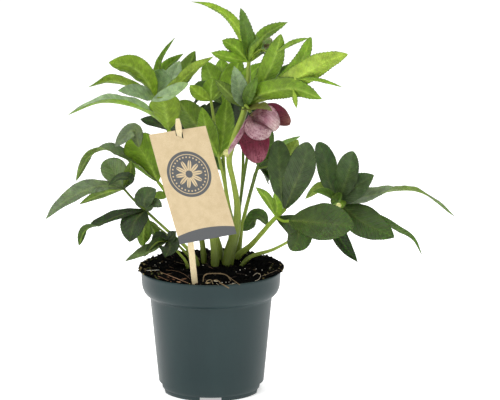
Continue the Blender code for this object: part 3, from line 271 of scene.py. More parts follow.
# Each leaf or leafy stem: the places along its stem from the soil up, the stem's radii in mm at those
# places or at its two ends, its leaflets, any side stalks as (places, radius), any knobs as (place,
# radius), and any closed flower buds as (place, radius, half length, axis).
FRONDS = {
    "leaf_upper_left": {
        "stem": ((203.5, 262, -6), (201, 235, -4), (187, 180, 8), (166, 125, 20), (155.5, 98, 25)),
        "radii": (1.9, 1.5),
        "leaves": [
            leaf((146, 80, 16), (131, 66.5, 6), (108.8, 62.3, -10), width=24, turn=150, fullness=0.8),
            leaf((115, 81, 6), (88.4, 86.9, -12), width=15, turn=122),
            leaf((137, 92.5, 4), (117.5, 90.7, -10), width=17, turn=35),
            leaf((160, 84, 30), (163, 69, 26), width=24, turn=12, **BLUNT_SHORT),
            leaf((160, 62, 42), (174.9, 37.6, 52), width=12, turn=115),
            leaf((166, 69, 50), (183.5, 53.5, 62), width=14, turn=150),
            leaf((176, 86, 14), (196, 68, 4), (213.7, 56.4, -2), width=15, turn=135),
            leaf((184, 73, 52), (195.3, 51, 62), width=22, turn=160, **ROUND),
            leaf((171, 79, 38), (180, 61, 44), width=18, turn=20, **ROUND_SHORT),
        ],
    },
    "leaf_mid_left": {
        "stem": ((214.5, 262, -15), (213, 238, -15), (200, 190, -12), (181, 150, -8), (168.5, 130, -5)),
        "radii": (2.9, 1.7),
        "leaves": [
            leaf((153, 116, -8), (130, 106, -20), (100, 103, -30), (68, 115, -40), width=20, turn=78,
                 fold=CHANNELLED, rows=LONG_ROWS),
            leaf((166.5, 114, -18), (163, 101, -28), (162, 97, -31), width=30, turn=175, **BLUNT),
            leaf((170, 93.5, -33), (188.5, 83.5, -42), start=(152, 101, -27), width=14, turn=30,
                 **ROUND_SHORT),
            leaf((153, 122, 8), (140, 119, 16), width=12, turn=30, rows=SHORT_ROWS),
        ],
    },
    "leaf_left": {
        "stem": ((220, 261, 1), (218, 238, 1), (196, 212, -4), (165, 195, -8), (158, 182, -10)),
        "radii": (2.2, 1.5),
        "leaves": [
            leaf((138, 164, -18), (112, 150, -28), (90, 156, -38), (76, 181, -44), width=16,
                 turn=(60, 60, 50, 125, 155), fullness=0.75, rows=LONG_ROWS),
            leaf((149, 163, -20), (139, 147, -27), (131, 137, -32), width=35, turn=170, **BLUNT),
            leaf((133, 130.5, -37), (115, 146.5, -42), start=(139, 147, -27), width=14, turn=20,
                 **ROUND_SHORT),
            leaf((159, 196, -14), (152.5, 199, -18), start=(168, 194.5, -7), width=9, turn=20,
                 rows=SHORT_ROWS),
        ],
    },
    "leaf_low_left": {
        "stem": ((196.5, 262, -15), (190, 251, -17), (174.5, 237, -24), (158, 222, -32), (145, 210, -38)),
        "radii": (1.7, 1.2),
        "leaves": [
            leaf((145, 199, -40), (156, 189, -40), width=19, turn=20, **ROUND_SHORT),
            leaf((154, 204, -43), (162, 207, -46), width=12, turn=30, **ROUND_SHORT),
            leaf((122, 215, -47), (98, 225, -55), (85, 231, -60), (79, 245.5, -64), width=16,
                 turn=(60, 55, 55, 140, 165), fullness=0.65, rows=LONG_ROWS),
            leaf((134, 223, -52), (129.6, 242, -58), width=24, turn=20, **ROUND),
            leaf((144, 228, -40), (143, 247, -38), width=15, turn=165),
            leaf((105, 186, -47), (86, 190, -54), (64, 202, -62), (45.3, 219.4, -68),
                 start=LOW_LEFT_FORK, width=18, turn=40, rows=LONG_ROWS),
            leaf((104, 193, -30), (79, 204.5, -26), start=LOW_LEFT_FORK, width=10, turn=150),
            leaf((115, 174, -36), (105, 160, -32), start=LOW_LEFT_FORK, width=25, turn=20, **BLUNT),
            leaf((130, 176, -42), (131, 160, -44), start=LOW_LEFT_FORK, width=12, turn=150,
                 rows=SHORT_ROWS),
            leaf((129, 179, -50), (119, 178, -54), (108, 186, -58), start=LOW_LEFT_FORK, width=12,
                 turn=55, rows=SHORT_ROWS),
        ],
        "stalks": [(((145, 210, -38), (133, 199, -38), LOW_LEFT_FORK), 1.1)],
    },
    "leaf_rim_left": {
        "stem": ((190, 258, -4), (180, 247, -6), (165, 233, -8), (148, 220, -10)),
        "radii": (1.2, 0.9),
        "leaves": [
            leaf((145, 232, -12), (141, 246, -16), width=15, turn=165, rows=SHORT_ROWS),
            leaf((153, 229, 0), (159, 241, 6), width=11, turn=150, rows=SHORT_ROWS),
            leaf((137, 224, 0), (128, 231, 6), width=11, turn=40, rows=SHORT_ROWS),
        ],
    },
    "leaf_front_left": {
        "stem": ((187, 264, -18), (178, 252, -24), (168, 241, -28)),
        "radii": (1.3, 1.0),
        "leaves": [
            leaf((156, 243, -42), (144, 257, -52), width=9, turn=150, rows=SHORT_ROWS),
            leaf((170, 247, -42), (165, 257, -51), width=20, turn=20, **ROUND_SHORT),
            leaf((160, 240, -22), (152, 246, -22), width=15, turn=30, rows=SHORT_ROWS),
            leaf((173, 236, -36), (176, 231, -40), width=12, turn=30, rows=SHORT_ROWS),
            leaf((148, 250, -46), (124.7, 261.5, -62), width=12, turn=45),
        ],
    },
    "leaf_centre": {
        "stem": ((227, 260, 13), (232, 238, 13), (227, 195, 13), CENTRE_FORK, (214.5, 125, 12),
                 (211, 101, 12)),
        "radii": (1.8, 1.3),
        "leaves": [
            leaf((200, 95, 4), (190, 85, -4), width=14, turn=160, rows=SHORT_ROWS),
            leaf((211, 90, 8), (213, 78, 2), width=16, turn=175, **ROUND_SHORT),
            leaf((217, 94, 12), (224, 85, 14), width=13, turn=150, rows=SHORT_ROWS),
            leaf((208, 135, 4), (202, 107, -4), start=CENTRE_FORK, width=19, turn=170),
            leaf((197, 126, 18), (179, 101, 20), start=CENTRE_FORK, width=27, turn=160, **BLUNT),
            leaf((224, 128, 22), (227, 97, 26), start=CENTRE_FORK, width=22, turn=170),
        ],
        "stalks": [((CENTRE_FORK, (227, 149, 10), (233, 143, 4)), 1.0)],
    },
    "leaf_back_centre": {
        "stem": ((229, 257, 24), (232, 228, 26), (226, 192, 34), (223, 155, 42), (223, 104, 48)),
        "radii": (2.3, 1.6),
        "leaves": [
            leaf((213, 82, 56), (205, 61, 60), width=24, turn=165, **ROUND),
            leaf((223, 82, 62), (221, 58, 70), width=24, turn=170, **ROUND),
            leaf((233, 80, 52), (240, 58, 54), width=25, turn=160, **ROUND),
            leaf((205, 88, 44), (193, 86, 38), width=15, turn=30, rows=SHORT_ROWS),
            leaf((240, 92, 60), (262, 82, 72), width=24, turn=150, rows=SHORT_ROWS),
            leaf((228, 104, 66), (236, 112, 86), width=20, turn=90, rows=SHORT_ROWS),
            leaf((206, 96, 64), (193, 104, 78), width=20, turn=60, rows=SHORT_ROWS),
            leaf((243, 82, 56), (263, 62, 60), width=19, turn=160),
            leaf((230, 114, 53), (230, 133, 54), width=20, turn=20, **ROUND_SHORT),
            leaf((214, 112, 50), (210, 129, 51), width=20, turn=20, **ROUND_SHORT),
        ],
    },
    "leaf_right": {
        "stem": ((235, 260, 7), (250, 246, 2), (268, 226, -10), RIGHT_FORK, (285, 209, -20)),
        "radii": (2.6, 1.9),
        "leaves": [
            leaf((281, 190, -12), (279, 165, -4), (278, 140, 2), width=24, turn=12, **BLUNT),
            leaf((294, 187, -28), (303, 165, -32), (308, 142, -34), width=28, turn=12, **BLUNT),
            leaf((288, 180, 8), (289, 158, 12), (298, 139.5, 14), width=27, turn=170, **ROUND),
            leaf((267, 199, -22), (255.5, 187, -26), start=RIGHT_FORK, width=10, turn=150,
                 rows=SHORT_ROWS),
            leaf((277, 205, -30), (274, 193, -36), start=RIGHT_FORK, width=12, turn=140,
                 rows=SHORT_ROWS),
            leaf((300, 221, -36), (327, 223.5, -54), (354, 226, -66), start=(289, 221, -27), width=36,
                 turn=15, fullness=0.6, peak=0.6, rows=LONG_ROWS),
            leaf((298, 231, -22), (292, 251, -26), start=RIGHT_FORK, width=25, turn=20, **BLUNT),
            leaf((258, 217, 4), (243, 231, 18), start=(268, 226, -10), width=16, turn=30,
                 rows=SHORT_ROWS),
        ],
        "stalks": [((RIGHT_FORK, (283, 221, -22), (289, 221, -27)), 1.3)],
    },
    "leaf_far_right": {
        "stem": ((239, 262, -9), (262, 254, -6), (288, 242, 2), (316, 222, 10), (338, 202, 12)),
        "radii": (1.5, 1.2),
        "leaves": [
            leaf((329, 182, 16), (325, 160, 18), (318, 142, 20), width=20, turn=12, **BLUNT),
            leaf((347, 178, 2), (353, 151, -8), width=23, turn=15, **BLUNT),
            leaf((357, 186, 0), (374, 175, -10), width=23, turn=10, **ROUND_SHORT),
            leaf((368, 196, 4), (398, 190.5, -6), (424, 194, -14), (455, 216.8, -26), width=20,
                 peak=0.32, turn=(50, 45, 100, 95, 35), rows=LONG_ROWS),
            leaf((362, 222, -4), (394.2, 237.5, -20), width=31, turn=15, **ROUND),
            leaf((366, 213, 10), (392, 226, 6), (412, 238, 2), (422.5, 255.8, -4), width=9, turn=45,
                 rows=LONG_ROWS),
            leaf((338, 232, 2), (346, 248, -6), (357.8, 262.4, -12), width=16, turn=20),
            leaf((326, 194, -4), (313, 191.5, -14), width=12, turn=50, rows=SHORT_ROWS),
            leaf((339, 201, -14), (338, 208, -34), width=15, turn=50, rows=SHORT_ROWS),
            leaf((322, 188, 28), (305, 199, 38), width=12, turn=150, rows=SHORT_ROWS),
        ],
    },
    "leaf_back_right": {
        "stem": ((238, 259, 20), (242, 225, 24), (249, 198, 32), (255, 175, 40), (258, 166, 44)),
        "radii": (2.2, 1.5),
        "leaves": [
            leaf((263, 150, 52), (272, 130, 58), width=20, turn=20, **ROUND_SHORT),
            leaf((276, 150, 60), (301, 136, 72), width=13, turn=60),
            leaf((270, 165, 56), (284, 158, 68), width=14, turn=30, rows=SHORT_ROWS),
            leaf((264, 140, 74), (262, 118, 84), width=20, turn=30, **ROUND_SHORT),
            leaf((262, 170, 70), (268, 184, 92), width=20, turn=90, **ROUND_SHORT),
            leaf((268, 176, 66), (290, 184, 84), width=17, turn=70, rows=SHORT_ROWS),
        ],
        "stalks": [(((249, 198, 32), (252, 184, 25), (257, 170, 22), (272, 166, 22)), 0.9)],
    },
    "leaf_back_low": {
        "stem": ((233, 256, 32), (240, 205, 38), (243, 165, 42), (243, 143, 46)),
        "radii": (1.6, 1.3),
        "leaves": [
            leaf((242, 122, 42), (238, 98, 34), width=25, turn=20, **ROUND),
            leaf((247, 142, 78), (248, 154, 104), width=20, turn=90, **ROUND_SHORT),
            leaf((247, 122, 62), (258, 108, 58), width=19, turn=30, **ROUND_SHORT),
        ],
        "stalks": [(((240, 205, 38), (243, 183, 28), (247, 158, 24), (249, 146, 24)), 1.4)],
    },
    "leaf_back_left": {
        "stem": ((215, 257, 16), (211, 222, 26), (199, 178, 42), (194, 152, 50)),
        "radii": (2.0, 1.5),
        "leaves": [
            leaf((212, 141, 42), (231, 122, 36), width=24, turn=20, **ROUND),
            leaf((211, 158, 42), (224, 172, 34), width=14, turn=20, rows=SHORT_ROWS),
            leaf((200, 130, 65), (205, 104, 74), width=24, turn=20, **ROUND),
            leaf((186, 132, 62), (183, 108, 70), width=24, turn=20, **ROUND_SHORT),
            leaf((180, 134, 74), (162, 118, 84), width=22, turn=40, **ROUND_SHORT),
            leaf((172, 152, 70), (154, 156, 88), width=21, turn=60, **ROUND_SHORT),
            leaf((196, 158, 78), (200, 176, 102), width=20, turn=90, **ROUND_SHORT),
        ],
    },
    "flower_stem": {
        "stem": ((226.5, 262, -9), (234, 238, -9), (237.5, 212, -9), (233, 180, -10), (229, 154, -11),
                 (237, 131, -9), FLOWER_FORK, (248, 80, -5), TOP_FORK),
        "radii": (4.0, 3.3, 2.6, 2.4, 2.8, 3.4, 3.0, 2.0, 1.8),
        "leaves": [
            leaf((239, 91, -18), (234, 66, -26), start=FLOWER_FORK, width=17, turn=20),
            leaf((250, 93, -22), (258, 77, -30), start=FLOWER_FORK, width=12, turn=20, rows=SHORT_ROWS),
            leaf((231, 95, -12), (215, 80, -14), start=FLOWER_FORK, width=14, turn=160),
            leaf((262, 84, -18), (274, 60, -26), (281, 34, -32), start=FLOWER_FORK, width=20, turn=165,
                 fullness=0.7, peak=0.6, rows=LONG_ROWS),
            leaf((266, 96, -22), (296, 79, -38), (325, 62, -54), (348, 54.2, -64), start=FLOWER_FORK,
                 width=22, turn=165, fullness=0.75, peak=0.62, rows=LONG_ROWS),
            leaf((260, 95, -24), (293, 89, -38), (322, 99, -44), start=FLOWER_FORK, width=22, turn=155,
                 fullness=0.75),
            leaf((320, 81, -48), (343, 87.5, -56), start=(296, 79, -38), width=7, turn=120,
                 rows=SHORT_ROWS),
            leaf((294, 99, -40), (296.6, 108.4, -42), start=(293, 89, -38), width=6, turn=140,
                 rows=SHORT_ROWS),
            leaf((280, 84, 0), (301, 61, 6), (311, 37, 10), start=FLOWER_FORK, width=14, turn=170,
                 **BLUNT),
            leaf((293, 43, -28), (309, 38, -30), start=(277, 52, -28), width=7, turn=130,
                 rows=SHORT_ROWS),
            leaf((280, 76, 12), (299, 61, 20), start=FLOWER_FORK, width=15, turn=25, rows=SHORT_ROWS),
            leaf((243, 38, 8), (228, 17, 18), (209, 6, 26), (191, 1.5, 32), width=11,
                 turn=(170, 160, 140, 130, 120), peak=0.44, rows=LONG_ROWS),
            leaf((246, 34, -12), (240.5, 8, -20), width=13, turn=25, **ROUND),
            leaf((253, 46, -4), (254, 31, -4), width=7, turn=160, rows=SHORT_ROWS),
            leaf((264, 36, 14), (288, 22, 22), width=13, turn=150),
            leaf((236, 48, -12), (222, 40, -20), width=15, turn=160, rows=SHORT_ROWS),
            leaf((230, 58, -8), (210.9, 52.5, -14), width=11, turn=150, rows=SHORT_ROWS),
            leaf((258, 52, 16), (272, 46, 26), width=14, turn=60, rows=SHORT_ROWS),
            leaf((241, 52, 14), (236, 40, 26), width=14, turn=60, rows=SHORT_ROWS),
            leaf((258, 50, -16), (263, 36, -18), width=9, turn=40, rows=SHORT_ROWS),
            leaf((260, 51, -18), (270, 55, -22), width=6, turn=110, rows=SHORT_ROWS),
        ],
        "stalks": [
            ((FLOWER_FORK, (246, 105.5, -16), (250.5, 111.8, -23.8)), 1.4),
            ((TOP_FORK, (255, 58, -6), (257, 54, -8)), 1.1),
            ((TOP_FORK, (258, 56, 4), (265, 50, 5)), 1.1),
        ],
        "knobs": [((227.5, 153, -11), 3.6)],
        "buds": [((259.5, 46, -8), 4.8, 6.8, (0.3, -0.1, 1)), ((267.5, 44, 5), 4.2, 6.2, (0.5, 0.0, 1))],
    },
}


def stem_line(frond, extra_depth=0.0, extra_radius=0.0):
    """A stem from its buried end up, as (position, radius) pairs, or the hole that it stands in."""
    points = [spot(*place) for place in frond["stem"]]
    heading = (points[1] - points[0]).normalized()
    down = (heading * 0.35 + Vector((0, 0, 1))).normalized() * -1
    points.insert(0, points[0] + down * (STALK_BURIED * MM))
    radii = frond["radii"]
    if len(radii) == 2:
        last = len(points) - 1
        radii = [mix(radii[0], radii[1], index / last) for index in range(last + 1)]
    else:
        radii = (radii[0],) + radii
    length = sum((end - start).length for start, end in zip(points, points[1:])) / MM
    line = smooth_line(points, radii, max(5, round(length / STALK_STEP)))
    line = [(position, radius + extra_radius) for position, radius in line]
    if extra_depth:
        foot, radius = line[0]
        away = (foot - line[1][0]).normalized()
        line.insert(0, (foot + away * (extra_depth * MM), radius))
    return line


def axis_frame(origin, axis):
    """A frame at `origin` with its Z along `axis`."""
    frame = axis.to_track_quat("Z", "Y").to_matrix().to_4x4()
    frame.translation = origin
    return frame


FLOWER_HEART = (253, 115, -25)
FLOWER_AXIS = Vector((0.62, -0.20, -0.75)).normalized()
RECEPTACLE_RADIUS = 4.6
RECEPTACLE_FLATNESS = 0.45
STAMEN_CORE_HEIGHT = 9.0
STAMEN_CORE_RADIUS = 2.2
STAMEN_LENGTH = 9.5
STAMEN_SPREAD = 4.4


# Colours of the upper and the lower face of a blade.
PALETTES = {
    "lime": (srgb(112, 140, 48), srgb(134, 154, 60)),
    "young": (srgb(106, 132, 42), srgb(120, 146, 38)),
    "leaf": (srgb(84, 112, 38), srgb(104, 134, 30)),
    "silver": (srgb(124, 146, 108), srgb(116, 146, 40)),
    "mid": (srgb(64, 86, 34), srgb(84, 106, 28)),
    "grey": (srgb(92, 106, 78), srgb(98, 116, 58)),
    "pale": (srgb(142, 154, 130), srgb(104, 124, 76)),
    "dark": (srgb(34, 48, 20), srgb(56, 74, 24)),
    "blue": (srgb(62, 78, 48), srgb(74, 92, 42)),
    "deep": (srgb(54, 68, 38), srgb(66, 84, 34)),
    "moss": (srgb(48, 64, 20), srgb(74, 96, 26)),
    # The shade palette is painted shade: darker copies of the leaf colours for leaflets that lie in shadow among
    # the others.
    "shade": (srgb(30, 42, 18), srgb(44, 60, 20)),
    "bract": (srgb(84, 84, 32), srgb(96, 92, 44)),
    "brown": (srgb(84, 74, 44), srgb(96, 78, 62)),
}

# The palette of each frond's stem, and of its leaflets in the order in which FRONDS lists them.
LOOKS = {
    "leaf_upper_left": ("young", "young young silver silver leaf leaf lime mid silver"),
    "leaf_mid_left": ("young", "silver young silver dark"),
    "leaf_left": ("young", "grey leaf grey young"),
    "leaf_low_left": ("mid", "blue blue dark dark mid grey mid grey mid dark"),
    "leaf_rim_left": ("mid", "mid mid mid"),
    "leaf_front_left": ("mid", "shade shade shade dark grey"),
    "leaf_centre": ("lime", "young leaf leaf leaf mid leaf"),
    "leaf_back_centre": ("young", "leaf leaf leaf mid mid mid dark leaf shade shade"),
    "leaf_right": ("young", "blue deep lime leaf leaf moss moss mid"),
    "leaf_far_right": ("young", "blue blue blue grey moss mid dark leaf leaf lime"),
    "leaf_back_right": ("mid", "mid leaf mid mid dark dark"),
    "leaf_back_low": ("mid", "dark dark dark"),
    "leaf_back_left": ("mid", "dark mid dark dark dark shade dark"),
    "flower_stem": ("lime", "silver leaf mid leaf lime leaf leaf young leaf silver mid young leaf leaf "
                            "leaf leaf leaf mid mid young lime"),
}

# Small bracts that cling to the flower and the top buds: path, width, turn and palette.
SMALL_BRACTS = {
    "flower_stem": [
        (((245, 109, -8), (252, 108.5, -30), (262, 108, -50), (272, 111, -56)), 19, 70, "bract"),
        (((249, 60, -6), (253, 50, -14), (258, 44, -20), (262, 38, -22)), 6, 45, "young"),
        (((249, 60, -6), (252, 48, -12), (257, 40, -16), (256.6, 34.7, -14)), 6, 30, "leaf"),
        (((262, 52, -4), (266, 47, -10), (272, 46, -14)), 6, 150, "brown"),
        (((250, 62, -6), (257, 54, -14), (263, 51, -20), (269, 52, -22)), 6, 60, "young"),
        (((250, 62, -4), (257, 56, 2), (266, 53, 6)), 8, 100, "dark"),
    ],
}

# The pale scar in the middle of the right-hand whorl: place and radius.
SCARS = {"leaf_far_right": [((338.5, 205.5, -35), 2.3)]}

# Slots of the record that hold the finish of each frond.
SLOTS = {node["node"]: node["material_slot"] for node in frame["record"]["subparts"]}

# Pitch and depth of the teeth along an edge: fine on the leaves, coarse on the bracts.
FINE_TEETH = (2.2, 0.55)
TEETH = {
    "flower_stem": (3.5, 1.25),
    "leaf_upper_left": (2.5, 0.7),
    "leaf_centre": (2.7, 0.8),
    "leaf_back_centre": (2.9, 0.9),
}
PLANT_TOP = 362.6
SHEET_THICKNESS = 0.42
SHEATH_SWELL = 0.5
RIB_GREEN = srgb(166, 186, 92)
MIDRIB_RISE = 0.6
QUILTING = 0.3
VEIN_PITCH = 5.2
VEIN_SLOPE = 1.15
COLUMN_SHARES = (0.0, 0.07, 0.22, 0.4, 0.58, 0.76, 0.9, 1.0)


class Sheet:
    """Points, faces, colours and surface places, gathered for one mesh.

    A surface place is (across, along) in centimetres, and the last channel of a colour is 1 on the
    lower face of a blade and 0 elsewhere.
    """

    def __init__(self):
        self.points = []
        self.faces = []
        self.colours = []
        self.places = []

    def add(self, position, colour, place=(0.0, 0.0), under=0.0):
        """Adds a point and returns its number."""
        self.points.append(position)
        self.colours.append((colour[0], colour[1], colour[2], under))
        self.places.append(place)
        return len(self.points) - 1

    def strip(self, near, far, flip=False):
        """Joins two equally long rows of points by faces."""
        for a, b, c, d in zip(near, near[1:], far[1:], far):
            corners = [a, b, c, d]
            if flip:
                corners.reverse()
            face = []
            for corner in corners:
                if corner not in face:
                    face.append(corner)
            if len(face) > 2:
                self.faces.append(face)

    def piece(self, name, finish, slot, *nodes):
        """Makes the object, gives it its material and ties it to the frame."""
        mesh = bpy.data.meshes.new(name)
        mesh.from_pydata(self.points, [], self.faces)
        skin = mesh.attributes.new("skin", "FLOAT_COLOR", "POINT")
        skin.data.foreach_set("color", [channel for colour in self.colours for channel in colour])
        layer = mesh.uv_layers.new(name="surface")
        places = []
        for loop in mesh.loops:
            places.extend(self.places[loop.vertex_index])
        layer.data.foreach_set("uv", places)
        mesh.shade_smooth()
        mesh.materials.append(finish)
        made = bpy.data.objects.new(name, mesh)
        bpy.context.scene.collection.objects.link(made)
        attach(made, "root")
        if nodes:
            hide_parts(*nodes)
        return made


def tinted(colour, factor):
    """A colour made lighter or darker."""
    return tuple(min(channel * factor, 1.0) for channel in colour[:3])


def blend_colours(first, second, share):
    """A colour between two."""
    return tuple(mix(a, b, share) for a, b in zip(first[:3], second[:3]))


def fine_tube(sheet, line, colour, sides=14, ribs=0.05, colour_at=None):
    """A stalk with faint ribs along a line of (position, radius in mm) pairs, with rounded ends."""
    colour_at = colour_at or (lambda _: colour)
    rows = []
    guide = Vector((0.3, -1.0, 0.1))
    travelled = 0.0
    last = len(line) - 1
    for index, (position, radius) in enumerate(line):
        before = line[max(index - 1, 0)][0]
        after = line[min(index + 1, last)][0]
        tangent = (after - before).normalized()
        guide = (guide - tangent * guide.dot(tangent)).normalized()
        other = tangent.cross(guide)
        travelled += (position - before).length
        share = index / last
        row = []
        for side in range(sides):
            angle = 2 * math.pi * side / sides
            swell = 1 + ribs * math.cos(angle * 5) + ribs * noise.noise(position * 260 + guide * side)
            out = guide * math.cos(angle) + other * math.sin(angle)
            shade = 1 + 0.1 * noise.noise(position * 120 + out * 2)
            tone = tinted(colour_at(share), shade)
            place = (side / sides * radius * 0.6, travelled * 100)
            row.append(sheet.add(position + out * (radius * swell * MM), tone, place))
        rows.append(row)
    for near, far in zip(rows, rows[1:]):
        sheet.strip(near + near[:1], far + far[:1])
    for row, (position, radius), way in ((rows[0], line[0], -1), (rows[-1], line[-1], 1)):
        neighbour = line[1][0] if way < 0 else line[-2][0]
        out = (position - neighbour).normalized() * (radius * 0.5 * MM)
        tip = sheet.add(position + out, colour_at(0.0 if way < 0 else 1.0))
        for a, b in zip(row, row[1:] + row[:1]):
            sheet.faces.append([b, a, tip] if way < 0 else [a, b, tip])


def rib_colours(colours):
    """The paler colours of the midrib on the two faces."""
    return [blend_colours(tinted(tone, 1.5), RIB_GREEN, 0.45) for tone in colours]


def fine_blade(sheet, path, width, turn, colours, seed, peak=0.5, fullness=0.9, fold=BLADE_FOLD,
               teeth=FINE_TEETH, base_width=BLADE_BASE_WIDTH, wave=1.15, crown=1.25, shade=None, **_):
    """A leaflet or sepal as a thin closed sheet with a toothed edge, a midrib and a quilted surface."""
    points = [spot(*point) for point in path]
    length = sum((end - start).length for start, end in zip(points, points[1:])) / MM
    pitch, depth = teeth
    rib_tones = rib_colours(colours)
    teeth_count = max(6, round(length / pitch))
    shares = []
    for tooth in range(teeth_count):
        for part in (0.0, 0.45, 0.8):
            shares.append((tooth + part) / teeth_count)
    shares.append(1.0)
    last = len(shares) - 1
    places = smooth_path(points, shares)
    side_sign = 1.0 if points[-1].x < points[0].x else -1.0
    luck = random.Random(seed)
    drift = Vector((luck.uniform(0, 50), luck.uniform(0, 50), luck.uniform(0, 50)))
    columns = [-share for share in reversed(COLUMN_SHARES[1:])] + list(COLUMN_SHARES)
    upper_rows = []
    lower_rows = []
    for row, (position, place) in enumerate(places):
        t = shares[row]
        before = places[max(row - 2, 0)][0]
        after = places[min(row + 2, last)][0]
        tangent = (after - before).normalized()
        to_eye = (EYE - position).normalized()
        to_eye = (to_eye - tangent * to_eye.dot(tangent)).normalized()
        skyward = tangent.cross(to_eye) * side_sign
        roll = math.radians(along(turn, place))
        upper = to_eye * math.cos(roll) + skyward * math.sin(roll)
        side = tangent.cross(upper)
        half = width / 2 * width_share(t, peak, fullness) if 0 < t < 1 else 0.0
        half = max(half, base_width / 2 * (1 - t))
        part = row % 3
        toothed = depth * smoothstep(0.12, 0.4, t) * (1 - smoothstep(0.88, 0.97, t)) * min(1.0, half / 3)
        uneven = 1 + 0.6 * noise.noise(Vector((t * length * 0.19, 3.7, 0)) + drift)
        tooth_out = uneven * toothed * (-0.55, 0.1, 0.6)[part]
        tooth_forward = uneven * toothed * (0.0, 0.3, 0.9)[part]
        thick = SHEET_THICKNESS / 2 * (1 - 0.6 * t)
        middle = min(0.15, mix(1.0, 0.4, t) / half) if half > 0.6 else 0.3
        upper_row = []
        lower_row = []
        for share in columns:
            reach = share if abs(share) > 0.07 else math.copysign(middle, share) if share else 0.0
            across = half * reach
            edge = abs(share) == 1.0
            if edge:
                across += math.copysign(tooth_out, share)
            spread = abs(reach)
            rise = half * math.sin(fold) * spread ** crown
            phase = (t * length - abs(across) * VEIN_SLOPE) / VEIN_PITCH
            quilt = QUILTING * math.cos(phase * 2 * math.pi) * math.sin(spread * math.pi) * min(1, half / 5)
            sway_spot = Vector((t * length * 0.055, share * 1.1, 0)) + drift
            sway = wave * noise.noise(sway_spot) * spread * min(2.6, half * 0.28)
            sway += wave * 0.5 * noise.noise(sway_spot * 3.1) * spread * min(1.2, half * 0.15)
            offset = side * (across * math.cos(fold * spread)) + upper * (rise + sway - quilt)
            if edge:
                offset += tangent * tooth_forward
            centre = position + offset * MM
            centre.z = min(centre.z, PLANT_TOP * MM)
            groove = 0.18 * MM if share == 0 else 0.0
            rib = MIDRIB_RISE * (1 - 0.75 * t) * min(1.0, half / 4) * MM if share == 0 else 0.0
            mottle = 1 + 0.24 * noise.noise(centre * 38 + drift) + 0.16 * noise.noise(centre * 130 + drift)
            rim = 0.84 if edge else 1.0
            where = (across / 10, t * length / 10 + seed % 7)
            top_tone = tinted(colours[0], mottle * rim)
            low_tone = tinted(colours[1], mottle * rim * mix(1.06, 0.94, t))
            if abs(share) < 0.1:
                near_rib = 1.0 if share == 0 else 0.6
                top_tone = blend_colours(top_tone, rib_tones[0], 0.28 * near_rib * (1 - 0.7 * t))
                low_tone = blend_colours(low_tone, rib_tones[1], near_rib * (1 - 0.5 * t))
            if shade:
                top_tone, low_tone = shade(t, reach, top_tone, low_tone)
            upper_point = sheet.add(centre + upper * (thick * MM - groove), top_tone, where, 0.0)
            upper_row.append(upper_point)
            if edge or row == last:
                lower_row.append(upper_point)
            else:
                lower_row.append(sheet.add(centre - upper * (thick * MM + rib), low_tone, where, 1.0))
        if row == last:
            tip = upper_row[len(upper_row) // 2]
            upper_row = [tip] * len(upper_row)
            lower_row = upper_row
        upper_rows.append(upper_row)
        lower_rows.append(lower_row)
    for near, far in zip(upper_rows, upper_rows[1:]):
        sheet.strip(near, far, flip=True)
    for near, far in zip(lower_rows, lower_rows[1:]):
        sheet.strip(near, far)
    sheet.strip(upper_rows[0], lower_rows[0])


class Shading:
    """A material with a Principled shader, and short ways to add nodes to it."""

    def __init__(self, name, **sockets):
        self.material = bpy.data.materials.new(name)
        self.material.use_nodes = True
        self.tree = self.material.node_tree
        self.shader = self.tree.nodes["Principled BSDF"]
        self.feed(self.shader, {key.replace("_", " "): value for key, value in sockets.items()})

    def feed(self, node, values):
        """Sets or links a node's sockets."""
        for key, value in values.items():
            socket = node.inputs[key]
            if isinstance(value, bpy.types.NodeSocket):
                self.tree.links.new(value, socket)
            else:
                socket.default_value = value

    def node(self, kind, values=None, **settings):
        """Adds a node."""
        made = self.tree.nodes.new("ShaderNode" + kind)
        for key, value in settings.items():
            setattr(made, key, value)
        self.feed(made, values or {})
        return made

    def math(self, operation, first, second=0.0, third=0.0):
        """A Math node's result."""
        return self.node("Math", {0: first, 1: second, 2: third}, operation=operation).outputs[0]

    def between(self, value, low, high, start=0.0, end=1.0):
        """A smooth step of a value, from `start` below `low` to `end` above `high`."""
        step = self.node("MapRange", {"Value": value, "From Min": low, "From Max": high,
                                      "To Min": start, "To Max": end}, interpolation_type="SMOOTHSTEP")
        return step.outputs["Result"]

    def mix(self, factor, first, second, way="MIX"):
        """Two colours mixed."""
        made = self.node("Mix", data_type="RGBA", blend_type=way)
        self.feed(made, {0: factor, 6: first, 7: second})
        return made.outputs[2]

    def noise(self, scale, detail=4.0, where=None, stretch=None, roughness=0.55):
        """A noise value, in object space unless another place is given."""
        where = where or self.node("TexCoord").outputs["Object"]
        if stretch:
            where = self.node("Mapping", {"Vector": where, "Scale": stretch}).outputs[0]
        values = {"Vector": where, "Scale": scale, "Detail": detail, "Roughness": roughness}
        return self.node("TexNoise", values).outputs[0]

    def skin(self):
        """The colour and the last channel of the mesh's own colour attribute."""
        made = self.node("Attribute", attribute_name="skin")
        return made.outputs["Color"], made.outputs["Alpha"]

    def surface(self):
        """Across and along, in centimetres, from the mesh's surface places."""
        made = self.node("UVMap", uv_map="surface")
        apart = self.node("SeparateXYZ", {0: made.outputs[0]})
        return apart.outputs[0], apart.outputs[1]

    def bump(self, height, distance, strength=1.0, after=None):
        """A bump from a height."""
        values = {"Height": height, "Distance": distance, "Strength": strength}
        if after:
            values["Normal"] = after
        return self.node("Bump", values).outputs[0]

    def finish(self, colour=None, roughness=None, normal=None):
        """Links what varies to the shader and returns the material."""
        values = {"Base Color": colour, "Roughness": roughness, "Normal": normal}
        self.feed(self.shader, {key: value for key, value in values.items() if value is not None})
        return self.material


